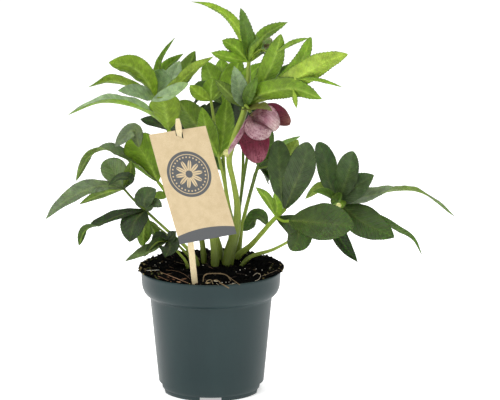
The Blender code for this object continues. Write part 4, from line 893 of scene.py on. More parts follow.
def leaf_material():
    """Leaf tissue: lateral veins that leave the midrib, a fine net between them, and mottling."""
    look = Shading("leaf", Specular_IOR_Level=0.34, Subsurface_Weight=0.1, Subsurface_Scale=0.0015,
                   Subsurface_Radius=(0.5, 1.0, 0.1))
    colour, under = look.skin()
    across, lengthwise = look.surface()
    aside = look.math("ABSOLUTE", across)
    warp = look.math("MULTIPLY", look.noise(90, 2.0), 0.16)
    start = look.math("SUBTRACT", lengthwise, look.math("MULTIPLY", aside, VEIN_SLOPE))
    phase = look.math("DIVIDE", look.math("ADD", start, warp), VEIN_PITCH / 10)
    to_vein = look.math("PINGPONG", phase, 0.5)
    vein = look.between(to_vein, 0.025, 0.15, 1.0, 0.0)
    net = look.node("TexVoronoi", {"Vector": look.node("TexCoord").outputs["Object"], "Scale": 560.0},
                    feature="DISTANCE_TO_EDGE").outputs["Distance"]
    net = look.between(net, 0.02, 0.2, 1.0, 0.0)
    relief = look.math("ADD", look.math("MULTIPLY", vein, 0.8), look.math("MULTIPLY", net, 0.2))
    strength = look.math("ADD", 0.5, look.math("MULTIPLY", under, 0.05))
    pale = look.mix(1.0, colour, (1.55, 1.45, 1.4, 1), "MULTIPLY")
    body = look.mix(look.math("MULTIPLY", vein, strength), colour, pale)
    body = look.mix(look.math("MULTIPLY", net, 0.16), body, pale)
    patchy = look.between(look.noise(26, 3.0), 0.42, 0.6, 0.0, 0.6)
    body = look.mix(patchy, body, look.mix(1.0, body, (1.06, 1.15, 0.55, 1), "MULTIPLY"))
    grain = look.between(look.noise(190, 5.0), 0.25, 0.75, 0.72, 1.22)
    body = look.mix(1.0, body, look.node("CombineXYZ", {0: grain, 1: grain, 2: grain}).outputs[0],
                    "MULTIPLY")
    rough = look.math("ADD", look.between(look.noise(60, 3.0), 0.3, 0.7, 0.42, 0.56),
                      look.math("MULTIPLY", under, 0.1))
    down = look.math("MULTIPLY", relief, look.math("SUBTRACT", look.math("MULTIPLY", under, 2.0), 1.0))
    return look.finish(body, rough, look.bump(down, 0.0005, 0.8))


def stalk_material():
    """Stems and petioles: fine lengthwise streaks over the mesh's own colour."""
    look = Shading("stalk", Specular_IOR_Level=0.3, Subsurface_Weight=0.1, Subsurface_Scale=0.002,
                   Subsurface_Radius=(0.5, 1.0, 0.3))
    colour, _ = look.skin()
    across, lengthwise = look.surface()
    where = look.node("CombineXYZ", {0: across, 1: look.math("MULTIPLY", lengthwise, 0.08), 2: 0.0})
    streak = look.noise(26, 4.0, where.outputs[0])
    fleck = look.noise(340, 3.0)
    pale = look.mix(1.0, colour, (1.5, 1.4, 1.5, 1), "MULTIPLY")
    deep = look.mix(1.0, colour, (0.5, 0.55, 0.45, 1), "MULTIPLY")
    body = look.mix(look.between(streak, 0.4, 0.7, 0.0, 0.6), colour, pale)
    body = look.mix(look.between(streak, 0.5, 0.3, 0.0, 0.6), body, deep)
    body = look.mix(look.between(fleck, 0.62, 0.75, 0.0, 0.3), body, srgb(96, 72, 44))
    rough = look.between(fleck, 0.3, 0.7, 0.4, 0.54)
    return look.finish(body, rough, look.bump(streak, 0.0003, 0.6))


def stem_colour(share):
    """The colour of a stem from its dark foot past its pale middle, at a share of its length."""
    foot = srgb(74, 88, 20)
    middle = srgb(140, 160, 64)
    return blend_colours(foot, middle, smoothstep(0.08, 0.42, share))


def fine_frond(name, frond, blades, stalks):
    """The finer pieces of a leaf or leafy stem: its stalks and its blades."""
    stem_palette, palettes = LOOKS[name]
    palettes = palettes.split()
    stalk_sheet = Sheet()
    points = stem_line(frond)
    positions = [position for position, _ in points]
    radii = [radius for _, radius in points]
    length = sum((b - a).length for a, b in zip(positions, positions[1:])) / MM
    tone = PALETTES[stem_palette][1]
    line = smooth_line(positions, radii, max(12, round(length / 3)))
    sheath = [1 + SHEATH_SWELL * (1 - smoothstep(0.1, 0.5, index / len(line))) for index in range(len(line))]
    line = [(position, radius * swell) for (position, radius), swell in zip(line, sheath)]
    fine_tube(stalk_sheet, line, tone, colour_at=lambda share: blend_colours(
        stem_colour(share), tone, smoothstep(0.5, 0.95, share)))
    for path, radius in frond.get("stalks", ()):
        line = smooth_line([spot(*place) for place in path], radius, 14)
        fine_tube(stalk_sheet, line, tone, sides=12)
    for place, radius in frond.get("knobs", []) + SCARS.get(name, []):
        make_knob(stalk_sheet, spot(*place), radius)
    for place, radius, half_length, axis in frond.get("buds", ()):
        make_bud(stalk_sheet, axis_frame(spot(*place), Vector(axis).normalized()), radius, half_length)
    stalk_sheet.piece(name + "_stalk", stalks, SLOTS[name], name)
    blade_sheet = Sheet()
    for index, (part, palette) in enumerate(zip(frond["leaves"], palettes, strict=True)):
        start = part["start"] or frond["stem"][-1]
        fine_blade(blade_sheet, (start,) + part["path"], part["width"], part["turn"], PALETTES[palette],
                   seed=index + len(name) * 13, teeth=TEETH.get(name, FINE_TEETH), **part["shape"])
    for index, (path, width, turn, palette) in enumerate(SMALL_BRACTS.get(name, ())):
        fine_blade(blade_sheet, path, width, turn, PALETTES[palette], seed=index + 70, teeth=FINE_TEETH,
                   fullness=0.7)
    blade_sheet.piece(name + "_blades", blades, SLOTS[name], name)


def round_form(sheet, frame_of, radius, tone, rings=16, sides=24, squash=1.0, colour_at=None, lobes=0,
               lobe_depth=0.0, relief=0.0):
    """A closed rounded form in a frame, stretched along its axis, with lobes and noise relief."""
    rows = []
    for ring in range(rings + 1):
        polar = math.pi * ring / rings
        row = []
        for side in range(sides):
            angle = 2 * math.pi * side / sides
            swell = 1 + lobe_depth * math.cos(angle * lobes) * math.sin(polar)
            out = Vector((math.sin(polar) * math.cos(angle), math.sin(polar) * math.sin(angle),
                          -math.cos(polar) * squash))
            swell += relief * noise.noise(out * 3.1 + frame_of.translation * 50)
            where = frame_of @ (out * (radius * swell * MM))
            colour = colour_at(ring / rings, angle) if colour_at else tone
            row.append(sheet.add(where, colour, (angle * radius / 10, ring / rings)))
            if ring in (0, rings):
                row = row * sides
                break
        rows.append(row)
    for near, far in zip(rows, rows[1:]):
        sheet.strip(near + near[:1], far + far[:1])


def make_knob(sheet, centre, radius):
    """The pale scar where a leaf broke off."""
    pale = srgb(206, 206, 134)
    frame_of = Matrix.Translation(centre)
    round_form(sheet, frame_of, radius, pale, relief=0.35,
               colour_at=lambda share, angle: tinted(pale, 0.75 + 0.3 * abs(math.sin(share * 9))))


def make_bud(sheet, frame_of, radius, half_length):
    """A closed bud: five sepals that meet at its tip."""
    green = srgb(98, 132, 58)
    plum = srgb(98, 76, 60)

    def tone(share, angle):
        return blend_colours(green, plum, smoothstep(0.45, 0.95, share) * (0.6 + 0.3 * math.cos(angle * 5)))

    round_form(sheet, frame_of, radius, green, rings=20, sides=40, squash=half_length / radius,
               colour_at=tone, lobes=5, lobe_depth=0.07, relief=0.08)


# The flower. Each sepal: path, width, turn, fold, what its two faces show, and the seed of its waves.
FINE_SEPALS = [
    (((252, 114.5, -27), (265.5, 118, -46), (277.5, 129.5, -52)), 26, 174, 30, "pink pink", 3),
    (((250.5, 116, -28), (257, 127.5, -45.5), (271, 133.5, -53)), 23, 190, 30, "pale pale", 5),
    (((254, 114.5, -22.5), (272, 116, -10), (290.5, 123.5, -8)), 24, 18, 34, "rose rose", 8),
    (((253, 116, -23), (254, 138, -12), (258.5, 163, -10)), 31, 0, 26, "wine rose", 11),
    (((251, 116, -26), (241.5, 136, -30), (229, 154.5, -28)), 15, 95, 30, "pink pink", 14),
]
# A thin dark strip along the crease where the two outer sepals meet: painted shade.
CREASE_SHADE_PATH = ((251.5, 119.5, -39), (262, 124, -47.5), (273, 130.5, -54.5))
CREASE_SHADE_WIDTH = 1.8
# Each sepal tone: its middle, its base, and its tip.
SEPAL_TONES = {
    # The crease tones are painted shade, for the strip along the crease between the outer sepals.
    "seam": (srgb(84, 40, 50), srgb(66, 30, 36), srgb(104, 60, 66)),
    "pink": (srgb(174, 134, 144), srgb(140, 108, 104), srgb(196, 178, 170)),
    "pale": (srgb(168, 136, 142), srgb(140, 112, 108), srgb(194, 180, 172)),
    "rose": (srgb(94, 30, 50), srgb(64, 18, 32), srgb(130, 88, 72)),
    # The wine base is the sepal's own deep red, darkened further by painted shade inside the bell.
    "wine": (srgb(104, 24, 48), srgb(36, 2, 10), srgb(156, 92, 106)),
}


def sepal_shade(faces):
    """Colours of a sepal: a deep base, a pale tip and a light margin."""
    face_tones = [SEPAL_TONES[face] for face in faces.split()]

    def shade(t, reach, _top, _low):
        tones = []
        for middle, base, tip in face_tones:
            deep = (1 - smoothstep(0.1, 0.62, t)) * (1 - 0.5 * abs(reach))
            light = smoothstep(0.72, 1.0, abs(reach)) * 0.4
            tone = blend_colours(middle, base, deep)
            tone = blend_colours(tone, tinted(middle, 1.5), light)
            tones.append(blend_colours(tone, tip, smoothstep(0.6, 1.0, t) * 0.85))
        return tones

    return shade


def sepal_material():
    """Sepal tissue: fine branching veins along it, freckles, and a soft sheen."""
    look = Shading("sepal", Roughness=0.55, Specular_IOR_Level=0.28, Subsurface_Weight=0.12,
                   Subsurface_Scale=0.002, Subsurface_Radius=(1.0, 0.45, 0.5))
    colour, _ = look.skin()
    across, lengthwise = look.surface()
    warp = look.math("MULTIPLY", look.noise(90, 3.0), 0.28)
    fan = look.math("DIVIDE", across, look.math("ADD", look.math("MULTIPLY", lengthwise, 0.22), 0.35))
    phase = look.math("MULTIPLY", look.math("ADD", fan, warp), 7.0)
    vein = look.between(look.math("PINGPONG", phase, 0.5), 0.03, 0.2, 1.0, 0.0)
    where = look.node("TexCoord").outputs["Object"]
    freckle = look.node("TexVoronoi", {"Vector": where, "Scale": 480.0}).outputs["Distance"]
    patch = look.between(look.noise(75, 2.0), 0.38, 0.55)
    freckle = look.math("MULTIPLY", look.between(freckle, 0.24, 0.42, 1.0, 0.0), patch)
    mottle = look.noise(150, 5.0)
    deep = look.mix(1.0, colour, (0.38, 0.16, 0.25, 1), "MULTIPLY")
    body = look.mix(look.between(mottle, 0.38, 0.62, 0.0, 0.55), colour, deep)
    body = look.mix(look.math("MULTIPLY", vein, 0.4), body, deep)
    body = look.mix(look.math("MULTIPLY", freckle, 0.9), body, deep)
    return look.finish(body, None, look.bump(look.math("ADD", vein, mottle), 0.0003, 0.5))


def make_fine_flower(sepals, stalks):
    """The open flower: sepals, receptacle, and a tuft of stamens round its core."""
    sheet = Sheet()
    for path, width, turn, fold, faces, seed in FINE_SEPALS:
        fine_blade(sheet, path, width, turn, SEPAL_TONES["rose"], seed, peak=0.48, fullness=0.5,
                   fold=math.radians(fold), teeth=(2.0, 0.0), base_width=8.0, wave=1.2, crown=1.7,
                   shade=sepal_shade(faces))
    # A thin dark strip along the crease between the outer sepals: painted shade.
    fine_blade(sheet, CREASE_SHADE_PATH, CREASE_SHADE_WIDTH, 180, SEPAL_TONES["wine"], 17, fold=0.1, teeth=(2.0, 0.0),
               base_width=CREASE_SHADE_WIDTH, wave=0.3, shade=sepal_shade("seam seam"))
    heart = axis_frame(spot(*FLOWER_HEART), FLOWER_AXIS)
    round_form(sheet, heart, RECEPTACLE_RADIUS, srgb(150, 130, 90), squash=RECEPTACLE_FLATNESS, relief=0.1)
    sheet.piece("flower_sepals_fine", sepals, SLOTS["flower_sepals"], "flower_sepals")

    draw = random.Random(7)
    tuft = Sheet()
    core = heart @ Matrix.Translation((0, 0, STAMEN_CORE_HEIGHT * MM))
    round_form(tuft, core, STAMEN_CORE_RADIUS, srgb(150, 160, 90), relief=0.2)
    for _ in range(STAMEN_TOTAL):
        angle = draw.uniform(0, 2 * math.pi)
        outward = Vector((math.cos(angle), math.sin(angle), 0))
        spread = STAMEN_SPREAD * draw.uniform(0.25, 1.1)
        length = STAMEN_LENGTH * draw.uniform(0.6, 1.0)
        line = []
        for spread_share, length_share in STAMEN_PATH:
            rise = Vector((0, 0, STAMEN_CORE_HEIGHT + length * length_share))
            line.append((heart @ ((outward * spread * spread_share + rise) * MM), 0.17))
        fine_tube(tuft, line, srgb(214, 206, 160), sides=5, ribs=0.0)
        tip = Matrix.Translation(line[-1][0])
        round_form(tuft, tip, draw.uniform(0.5, 0.75), srgb(226, 214, 150), rings=6, sides=8, squash=1.5)
    tuft.piece("flower_stamens_fine", stalks, SLOTS["flower_stamens"], "flower_stamens")


STAMEN_TOTAL = 46
STAMEN_PATH = ((0.15, 0.0), (0.4, 0.3), (0.75, 0.65), (1.0, 1.0))

# Soil: how finely its surface is drawn, and what lies on it.
SOIL_SPOKES = 210
SOIL_STEPS = 96
CRUMB_COUNT = 2600
CHIP_COUNT = 80
GRIT_COUNT = 12
FIBRE_COUNT = 70
MOSS_COUNT = 1000


def soil_profile(angle):
    """The soil's surface along one spoke, from the middle outwards and down to its throat."""
    neck = RIM_RADIUS - RIM_THICKNESS - SOIL_CLEARANCE
    rings = [("top", radius, SOIL_MOUND_HEIGHT) for radius in (0.01,) + SOIL_TOP_RINGS]
    rings += [
        ("crest", neck - 2.6, SOIL_LIP_HEIGHT),
        ("edge", neck - 0.2, SOIL_LIP_HEIGHT - 0.6),
        ("underside", neck - 0.1, POT_HEIGHT + 0.6),
        ("throat", neck, POT_HEIGHT - 1.0),
    ]
    points = []
    for ring, radius, height in rings:
        points.append(Vector(soil_place(ring, radius * math.cos(angle), radius * math.sin(angle), height)))
    points.append(Vector((points[-1].x, points[-1].y, POT_HEIGHT - 9)))
    return points


def make_fine_soil(peat, woody, mossy):
    """Peat with crumbs, bark chips, white grit, fibres, roots and moss."""
    sheet = Sheet()
    black = srgb(11, 11, 11)
    rows = []
    surface = []
    for spoke in range(SOIL_SPOKES):
        angle = 2 * math.pi * spoke / SOIL_SPOKES
        shares = [step / SOIL_STEPS for step in range(SOIL_STEPS + 1)]
        places = smooth_path(soil_profile(angle), shares)
        row = []
        for step, (position, place) in enumerate(places):
            rough = noise.fractal(position * 0.5, 0.8, 2.1, 4) * 1.1 + noise.noise(position * 0.22) * 0.9
            rough *= smoothstep(11.6, 10.0, place)
            outward = Vector((math.cos(angle), math.sin(angle), 0)) * smoothstep(6.0, 8.5, place)
            lift = (outward + Vector((0, 0, 1 - 0.6 * smoothstep(6.0, 9.0, place)))) * rough
            bumped = position + lift * smoothstep(0, 3, step)
            tone = tinted(black, 0.75 + 0.7 * abs(noise.noise(position * 0.35 + Vector((9, 2, 5)))))
            row.append(sheet.add(bumped * MM, tone, (place, spoke / 10)))
            if step and place < 9.4:
                surface.append((bumped, place, angle))
        rows.append(row)
    for near, far in zip(rows, rows[1:] + rows[:1]):
        sheet.strip(far, near)
    floor = sheet.add(Vector((0, 0, (POT_HEIGHT - 9) * MM)), black)
    for near, far in zip(rows, rows[1:] + rows[:1]):
        sheet.faces.append([near[-1], floor, far[-1]])
    sheet.piece("soil_peat", peat, SLOTS["soil"], "soil")

    draw = random.Random(21)
    crumbs = Sheet()
    for _ in range(CRUMB_COUNT):
        position, place, angle = draw.choice(surface)
        size = draw.uniform(0.35, 0.9) if draw.random() < 0.85 else draw.uniform(0.9, 1.7)
        dark = draw.random()
        tone = srgb(9, 9, 9) if dark < 0.8 else srgb(26, 24, 20) if dark < 0.98 else srgb(62, 52, 38)
        lumpy(crumbs, position, size, tone, draw, (1, 1, draw.uniform(0.6, 1.0)))
    crumbs.piece("soil_crumbs", peat, SLOTS["soil"], "soil")

    litter = Sheet()
    for index in range(CHIP_COUNT):
        position, place, angle = draw.choice(surface)
        tone = draw.choice((srgb(44, 36, 30), srgb(70, 56, 42), srgb(28, 24, 20)))
        lumpy(litter, position + Vector((0, 0, 0.5)), draw.uniform(0.8, 1.6), tone, draw,
              (draw.uniform(1.6, 3.2), 0.8, 0.35))
    for across, down, depth, long, wide, tilt, tone in CHIPS:
        lumpy(litter, spot(across, down, depth) / MM, wide, srgb(*tone), draw, (long / wide, 0.7, 0.45), tilt)
    for index in range(GRIT_COUNT):
        position, place, angle = draw.choice(surface)
        lumpy(litter, position + Vector((0, 0, 0.5)), draw.uniform(0.3, 0.65), srgb(214, 210, 198), draw,
              (1, 0.9, 0.8))
    for across, down, depth, size in GRIT:
        lumpy(litter, spot(across, down, depth) / MM, size * 0.7, srgb(176, 172, 160), draw, (1, 0.9, 0.8))
    litter.piece("soil_litter", woody, SLOTS["soil"], "soil")

    roots = Sheet()
    for path, radius in ROOTS:
        line = smooth_line([spot(*place) for place in path], radius * 0.7, 40)
        fine_tube(roots, line, srgb(112, 96, 72), sides=8, ribs=0.12)
    for path, radius, tone in FINE_ROOTS:
        line = smooth_line([spot(*place) for place in path], radius * 0.7, 24)
        fine_tube(roots, line, tinted(srgb(*tone), 0.75), sides=6, ribs=0.12)
    for _ in range(FIBRE_COUNT):
        position, place, angle = draw.choice(surface)
        heading = draw.uniform(0, 2 * math.pi)
        line = []
        for step in range(7):
            heading += draw.uniform(-0.6, 0.6)
            position = position + Vector((math.cos(heading), math.sin(heading), draw.uniform(-0.2, 0.2)))
            if math.hypot(position.x, position.y) > RIM_RADIUS - 4:
                break
            line.append(((position + Vector((0, 0, 0.5))) * MM, draw.uniform(0.1, 0.18)))
        if len(line) > 3:
            fine_tube(roots, line, draw.choice((srgb(84, 70, 52), srgb(112, 96, 72), srgb(52, 44, 36))),
                      sides=5, ribs=0.0)
    roots.piece("soil_roots", woody, SLOTS["soil"], "soil")

    moss = Sheet()
    for _ in range(MOSS_COUNT):
        position, place, angle = draw.choice(surface)
        sideways = abs(math.cos(angle))
        if place < 6.2 or sideways < 0.72 or math.sin(angle) > 0.55:
            continue
        tone = draw.choice((srgb(92, 82, 50), srgb(120, 108, 74), srgb(66, 70, 36), srgb(50, 42, 30)))
        lumpy(moss, position, draw.uniform(0.7, 1.5), tone, draw, (1, 1, 0.8))
        for _ in range(3):
            lean = Vector((draw.uniform(-1, 1), draw.uniform(-1, 1), draw.uniform(0.2, 0.8)))
            line = [(position * MM, 0.24), ((position + lean * 0.7) * MM, 0.18),
                    ((position + lean * 1.3) * MM, 0.08)]
            fine_tube(moss, line, tinted(tone, 1.25), sides=4, ribs=0.0)
    moss.piece("soil_moss", mossy, SLOTS["soil"], "soil")


def lumpy(sheet, position, size, tone, draw, stretch, tilt=None):
    """An irregular lump, given in mm."""
    turn = draw.uniform(0, math.pi) if tilt is None else tilt
    lean = draw.uniform(-0.3, 0.3) if tilt is None else 0.0
    frame_of = (Matrix.Translation(position * MM) @ Matrix.Rotation(turn, 4, "Z") @
                Matrix.Rotation(lean, 4, "Y") @ Matrix.Diagonal((*stretch, 1)))
    round_form(sheet, frame_of, size, tinted(tone, draw.uniform(0.8, 1.25)), rings=4, sides=6, relief=0.7)


# Bark chips at the front: place, length, width, turn and colour.
CHIPS = [
    (165, 277, -44, 5.5, 1.3, -0.4, (140, 104, 78)),
    (172, 279.5, -48, 5.0, 1.2, -0.2, (120, 84, 62)),
    (178, 282, -52, 4.5, 1.1, -0.5, (152, 118, 90)),
    (184, 279, -50, 3.5, 1.2, 0.5, (104, 76, 56)),
    (169, 274, -40, 3.4, 1.0, 0.3, (98, 72, 52)),
    (153, 270.3, -30, 6.0, 0.55, 0.15, (226, 224, 214)),
    (188, 284, -54, 2.6, 1.5, 0.0, (170, 156, 104)),
    (194, 286, -56, 2.0, 1.6, 0.0, (176, 164, 110)),
    (208, 283, -56, 2.4, 1.5, 0.4, (168, 148, 110)),
    (216, 281, -58, 2.4, 1.0, -0.5, (206, 196, 164)),
]
# White grit: place and size.
GRIT = [
    (240, 270, -42, 0.8), (245, 268.5, -40, 0.7), (250, 272, -44, 0.6), (236, 272, -44, 0.5),
    (256, 269, -38, 0.7), (262, 270, -36, 0.8), (222, 282.5, -58, 0.9), (226, 282.4, -58, 0.9),
    (229, 282.2, -57, 0.8), (215, 286, -61, 0.7), (233, 283.4, -58, 0.7), (160, 263, -26, 0.7),
    (166, 262, -28, 0.6), (155, 265, -28, 0.5), (246, 275, -50, 0.5), (270, 268, -28, 0.7),
]
# Thin roots and splinters at the front: path, radius and colour.
FINE_ROOTS = [
    (((253, 276, -46), (257, 273, -45), (260.5, 275, -46), (259, 279, -49), (255, 281, -51)), 0.28,
     (176, 166, 146)),
    (((160, 272, -36), (168, 275, -42), (178, 279, -50), (188, 283, -55)), 0.55, (150, 118, 92)),
    (((158, 276, -42), (167, 280, -48), (177, 284, -54)), 0.4, (128, 96, 70)),
    (((166, 270, -36), (176, 271, -38), (184, 274, -42), (190, 279, -50)), 0.3, (108, 84, 62)),
    (((204, 286, -58), (207, 281, -55), (211, 280, -55), (213, 284, -58)), 0.5, (176, 156, 118)),
    (((240, 285, -60), (233, 280, -56), (226, 275, -52), (220, 273, -50)), 0.35, (150, 128, 96)),
    (((216, 283, -59), (222, 287, -62), (228, 285, -60), (236, 283, -58)), 0.3, (196, 184, 156)),
    (((176, 262, -30), (186, 264, -34), (196, 263, -36)), 0.25, (110, 96, 74)),
    (((262, 276, -46), (270, 273, -38), (277, 270, -28)), 0.25, (120, 104, 82)),
]


def earth_material(name, sheen, scale):
    """Peat, bark or moss: the mesh's own colour with crumbly variation and relief."""
    look = Shading(name, Roughness=0.92, Specular_IOR_Level=sheen)
    colour, _ = look.skin()
    crumb = look.noise(scale, 8.0, roughness=0.7)
    dry = look.noise(scale * 0.3, 3.0)
    body = look.mix(look.between(crumb, 0.5, 0.78, 0.0, 0.7), colour,
                    look.mix(1.0, colour, (2.0, 1.85, 1.7, 1), "MULTIPLY"))
    body = look.mix(look.between(dry, 0.5, 0.35, 0.0, 0.6), body,
                    look.mix(1.0, colour, (0.45, 0.45, 0.45, 1), "MULTIPLY"))
    return look.finish(body, None, look.bump(crumb, 0.0012, 0.8))


def pot_material():
    """Satin recycled plastic: fine moulded grain, faint flow marks and dust towards the foot."""
    look = Shading("pot_plastic", Specular_IOR_Level=0.3)
    where = look.node("TexCoord").outputs["Object"]
    flow = look.noise(22, 4.0, stretch=(1, 1, 0.25))
    grain = look.noise(900, 3.0)
    scuff = look.noise(60, 8.0, stretch=(1, 1, 3), roughness=0.75)
    height = look.node("SeparateXYZ", {0: where}).outputs[2]
    body = look.mix(look.between(flow, 0.3, 0.7), srgb(22, 42, 44), srgb(30, 50, 51))
    body = look.mix(look.between(scuff, 0.6, 0.8, 0.0, 0.2), body, srgb(66, 80, 80))
    body = look.mix(look.between(height, 0.03, 0.0, 0.0, 0.2), body, srgb(60, 74, 74))
    rough = look.math("ADD", look.between(flow, 0.3, 0.7, 0.36, 0.46),
                      look.between(scuff, 0.55, 0.8, 0.0, 0.16))
    fine = look.bump(grain, 0.00012, 0.5)
    return look.finish(body, rough, look.bump(flow, 0.0009, 0.25, fine))


def wood_material():
    """Pale birch: fine grain lines along the stick."""
    look = Shading("stake_wood", Specular_IOR_Level=0.3)
    across, lengthwise = look.surface()
    where = look.node("CombineXYZ", {0: look.math("MULTIPLY", across, 9.0), 1: lengthwise, 2: 0.0}).outputs[0]
    grain = look.noise(3.2, 6.0, where, roughness=0.65)
    lines = look.noise(9.0, 2.0, where)
    body = look.mix(look.between(grain, 0.35, 0.7), srgb(226, 213, 176), srgb(204, 182, 136))
    body = look.mix(look.between(lines, 0.58, 0.72, 0.0, 0.4), body, srgb(178, 148, 102))
    return look.finish(body, look.between(grain, 0.3, 0.7, 0.55, 0.7), look.bump(grain, 0.0003, 0.6))


def card_material():
    """Kraft card with fibres, and a print of a plain round rosette over a plain band."""
    look = Shading("tag_card", Specular_IOR_Level=0.25)
    across, lengthwise = look.surface()
    where = look.node("CombineXYZ", {0: across, 1: lengthwise, 2: 0.0}).outputs[0]
    fibre = look.noise(14, 8.0, where, roughness=0.7)
    blotch = look.noise(1.1, 3.0, where)
    fleck = look.noise(30, 2.0, where, (1, 3, 1))
    body = look.mix(look.between(fibre, 0.3, 0.7), srgb(194, 172, 134), srgb(212, 194, 160))
    body = look.mix(look.between(blotch, 0.35, 0.7, 0.0, 0.4), body, srgb(180, 158, 120))
    body = look.mix(look.between(fleck, 0.66, 0.78, 0.0, 0.45), body, srgb(146, 118, 84))
    x = look.math("SUBTRACT", across, ROSETTE_CENTRE[0])
    y = look.math("SUBTRACT", lengthwise, ROSETTE_CENTRE[1])
    radius = look.math("SQRT", look.math("ADD", look.math("MULTIPLY", x, x), look.math("MULTIPLY", y, y)))
    angle = look.math("ARCTAN2", y, x)
    petals = look.math("ABSOLUTE", look.math("COSINE", look.math("MULTIPLY", angle, ROSETTE_PETALS / 2)))
    petal_reach = look.math("MULTIPLY_ADD", petals, ROSETTE_RADIUS * 0.42, ROSETTE_RADIUS * 0.2)
    petal = look.between(look.math("SUBTRACT", radius, petal_reach), -0.012, 0.012, 1.0, 0.0)
    vein = look.between(petals, 0.985, 0.995)
    heart = look.between(radius, ROSETTE_RADIUS * 0.15, ROSETTE_RADIUS * 0.17, 1.0, 0.0)
    disc = look.between(radius, ROSETTE_RADIUS - 0.012, ROSETTE_RADIUS + 0.012, 1.0, 0.0)
    ring = look.math("ABSOLUTE", look.math("SUBTRACT", radius, ROSETTE_RADIUS * 0.86))
    ring = look.between(ring, 0.02, 0.045, 1.0, 0.0)
    beads = look.math("PINGPONG", look.math("MULTIPLY", angle, ROSETTE_BEADS / (2 * math.pi)), 0.5)
    bead_way = look.math("ABSOLUTE", look.math("SUBTRACT", radius, ROSETTE_RADIUS * 0.74))
    bead = look.math("MULTIPLY", look.between(beads, 0.16, 0.22, 1.0, 0.0),
                     look.between(bead_way, 0.055, 0.075, 1.0, 0.0))
    bare = look.math("MAXIMUM", look.math("MAXIMUM", ring, bead),
                     look.math("SUBTRACT", petal, look.math("MAXIMUM", heart, look.math("MULTIPLY", vein, petal))))
    ink = look.math("MULTIPLY", disc, look.math("SUBTRACT", 1.0, bare))
    arch = look.math("MULTIPLY", look.math("MULTIPLY", across, across), BAND_ARCH)
    band = look.math("SUBTRACT", lengthwise, look.math("SUBTRACT", BAND_TOP, arch))
    ink = look.math("MAXIMUM", ink, look.between(band, -0.01, 0.01, 1.0, 0.0))
    wear = look.between(fibre, 0.2, 0.5, 0.8, 1.0)
    body = look.mix(look.math("MULTIPLY", ink, wear), body, srgb(88, 90, 92))
    return look.finish(body, look.between(fibre, 0.3, 0.7, 0.72, 0.88), look.bump(fibre, 0.00015, 0.5))


ROSETTE_CENTRE = (-0.05, 1.0)
ROSETTE_RADIUS = 2.15
ROSETTE_PETALS = 10
ROSETTE_BEADS = 30
BAND_TOP = -4.1
BAND_ARCH = 0.045


def grid_box(name, size, counts, matrix, bend, finish):
    """A thin box as a fine grid, in a frame, with its surface places and a bend in mm."""
    cage = bmesh.new()
    bmesh.ops.create_cube(cage, size=1.0)
    for axis, cuts in enumerate(counts):
        for cut_index in range(1, cuts):
            normal = Vector((0, 0, 0))
            normal[axis] = 1
            place = normal * (cut_index / cuts - 0.5)
            geometry = cage.verts[:] + cage.edges[:] + cage.faces[:]
            bmesh.ops.bisect_plane(cage, geom=geometry, plane_co=place, plane_no=normal)
    layer = cage.loops.layers.uv.new("surface")
    for vertex in cage.verts:
        vertex.co = Vector((vertex.co.x * size[0], vertex.co.y * size[1], vertex.co.z * size[2]))
    for face in cage.faces:
        for loop in face.loops:
            loop[layer].uv = (loop.vert.co.x / 10, loop.vert.co.y / 10)
    for vertex in cage.verts:
        vertex.co = matrix @ ((vertex.co + bend(vertex.co)) * MM)
    mesh = bpy.data.meshes.new(name)
    cage.to_mesh(mesh)
    cage.free()
    mesh.materials.append(finish)
    made = bpy.data.objects.new(name, mesh)
    bpy.context.scene.collection.objects.link(made)
    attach(made, "root")
    return made


def stake_frame():
    """The stake's frame, at the middle of its length, and that length in mm."""
    foot = spot(*STAKE_FOOT)
    up = spot(*STAKE_TIP) - foot
    length = up.length / MM
    up.normalize()
    across = Vector((1, 0.25, 0))
    across = (across - up * across.dot(up)).normalized()
    frame_of = Matrix((across, up, across.cross(up))).transposed().to_4x4()
    frame_of.translation = foot + up * ((length - STAKE_BURIED) / 2 * MM)
    return frame_of, length + STAKE_BURIED


def make_fine_stake(wood):
    """A sawn stick with worn edges and a rough end."""
    frame_of, height = stake_frame()

    def bend(place):
        end = smoothstep(height / 2 - 7, height / 2, place.y)
        neck = math.exp(-((place.y - height / 2 + 16.5) / 2.6) ** 2)
        narrow = -0.42 * place.x * end - 0.34 * place.x * neck
        rough = noise.noise(Vector((place.x * 0.4, place.y * 0.12, place.z))) * 0.22
        return Vector((narrow + rough * 0.5, -0.4 * end * abs(noise.noise(place)), rough * 0.4))

    stake = grid_box("stake_fine", (STAKE_WIDTH - 0.1, height - 0.2, STAKE_THICKNESS - 0.2), (4, 60, 2),
                     frame_of, bend, wood)
    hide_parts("stake")
    edges = stake.modifiers.new("edges", "BEVEL")
    edges.width = 0.35 * MM
    edges.segments = 2
    edges.limit_method = "ANGLE"
    stake.data.shade_smooth()
    stake.data.set_sharp_from_angle(angle=math.radians(50))


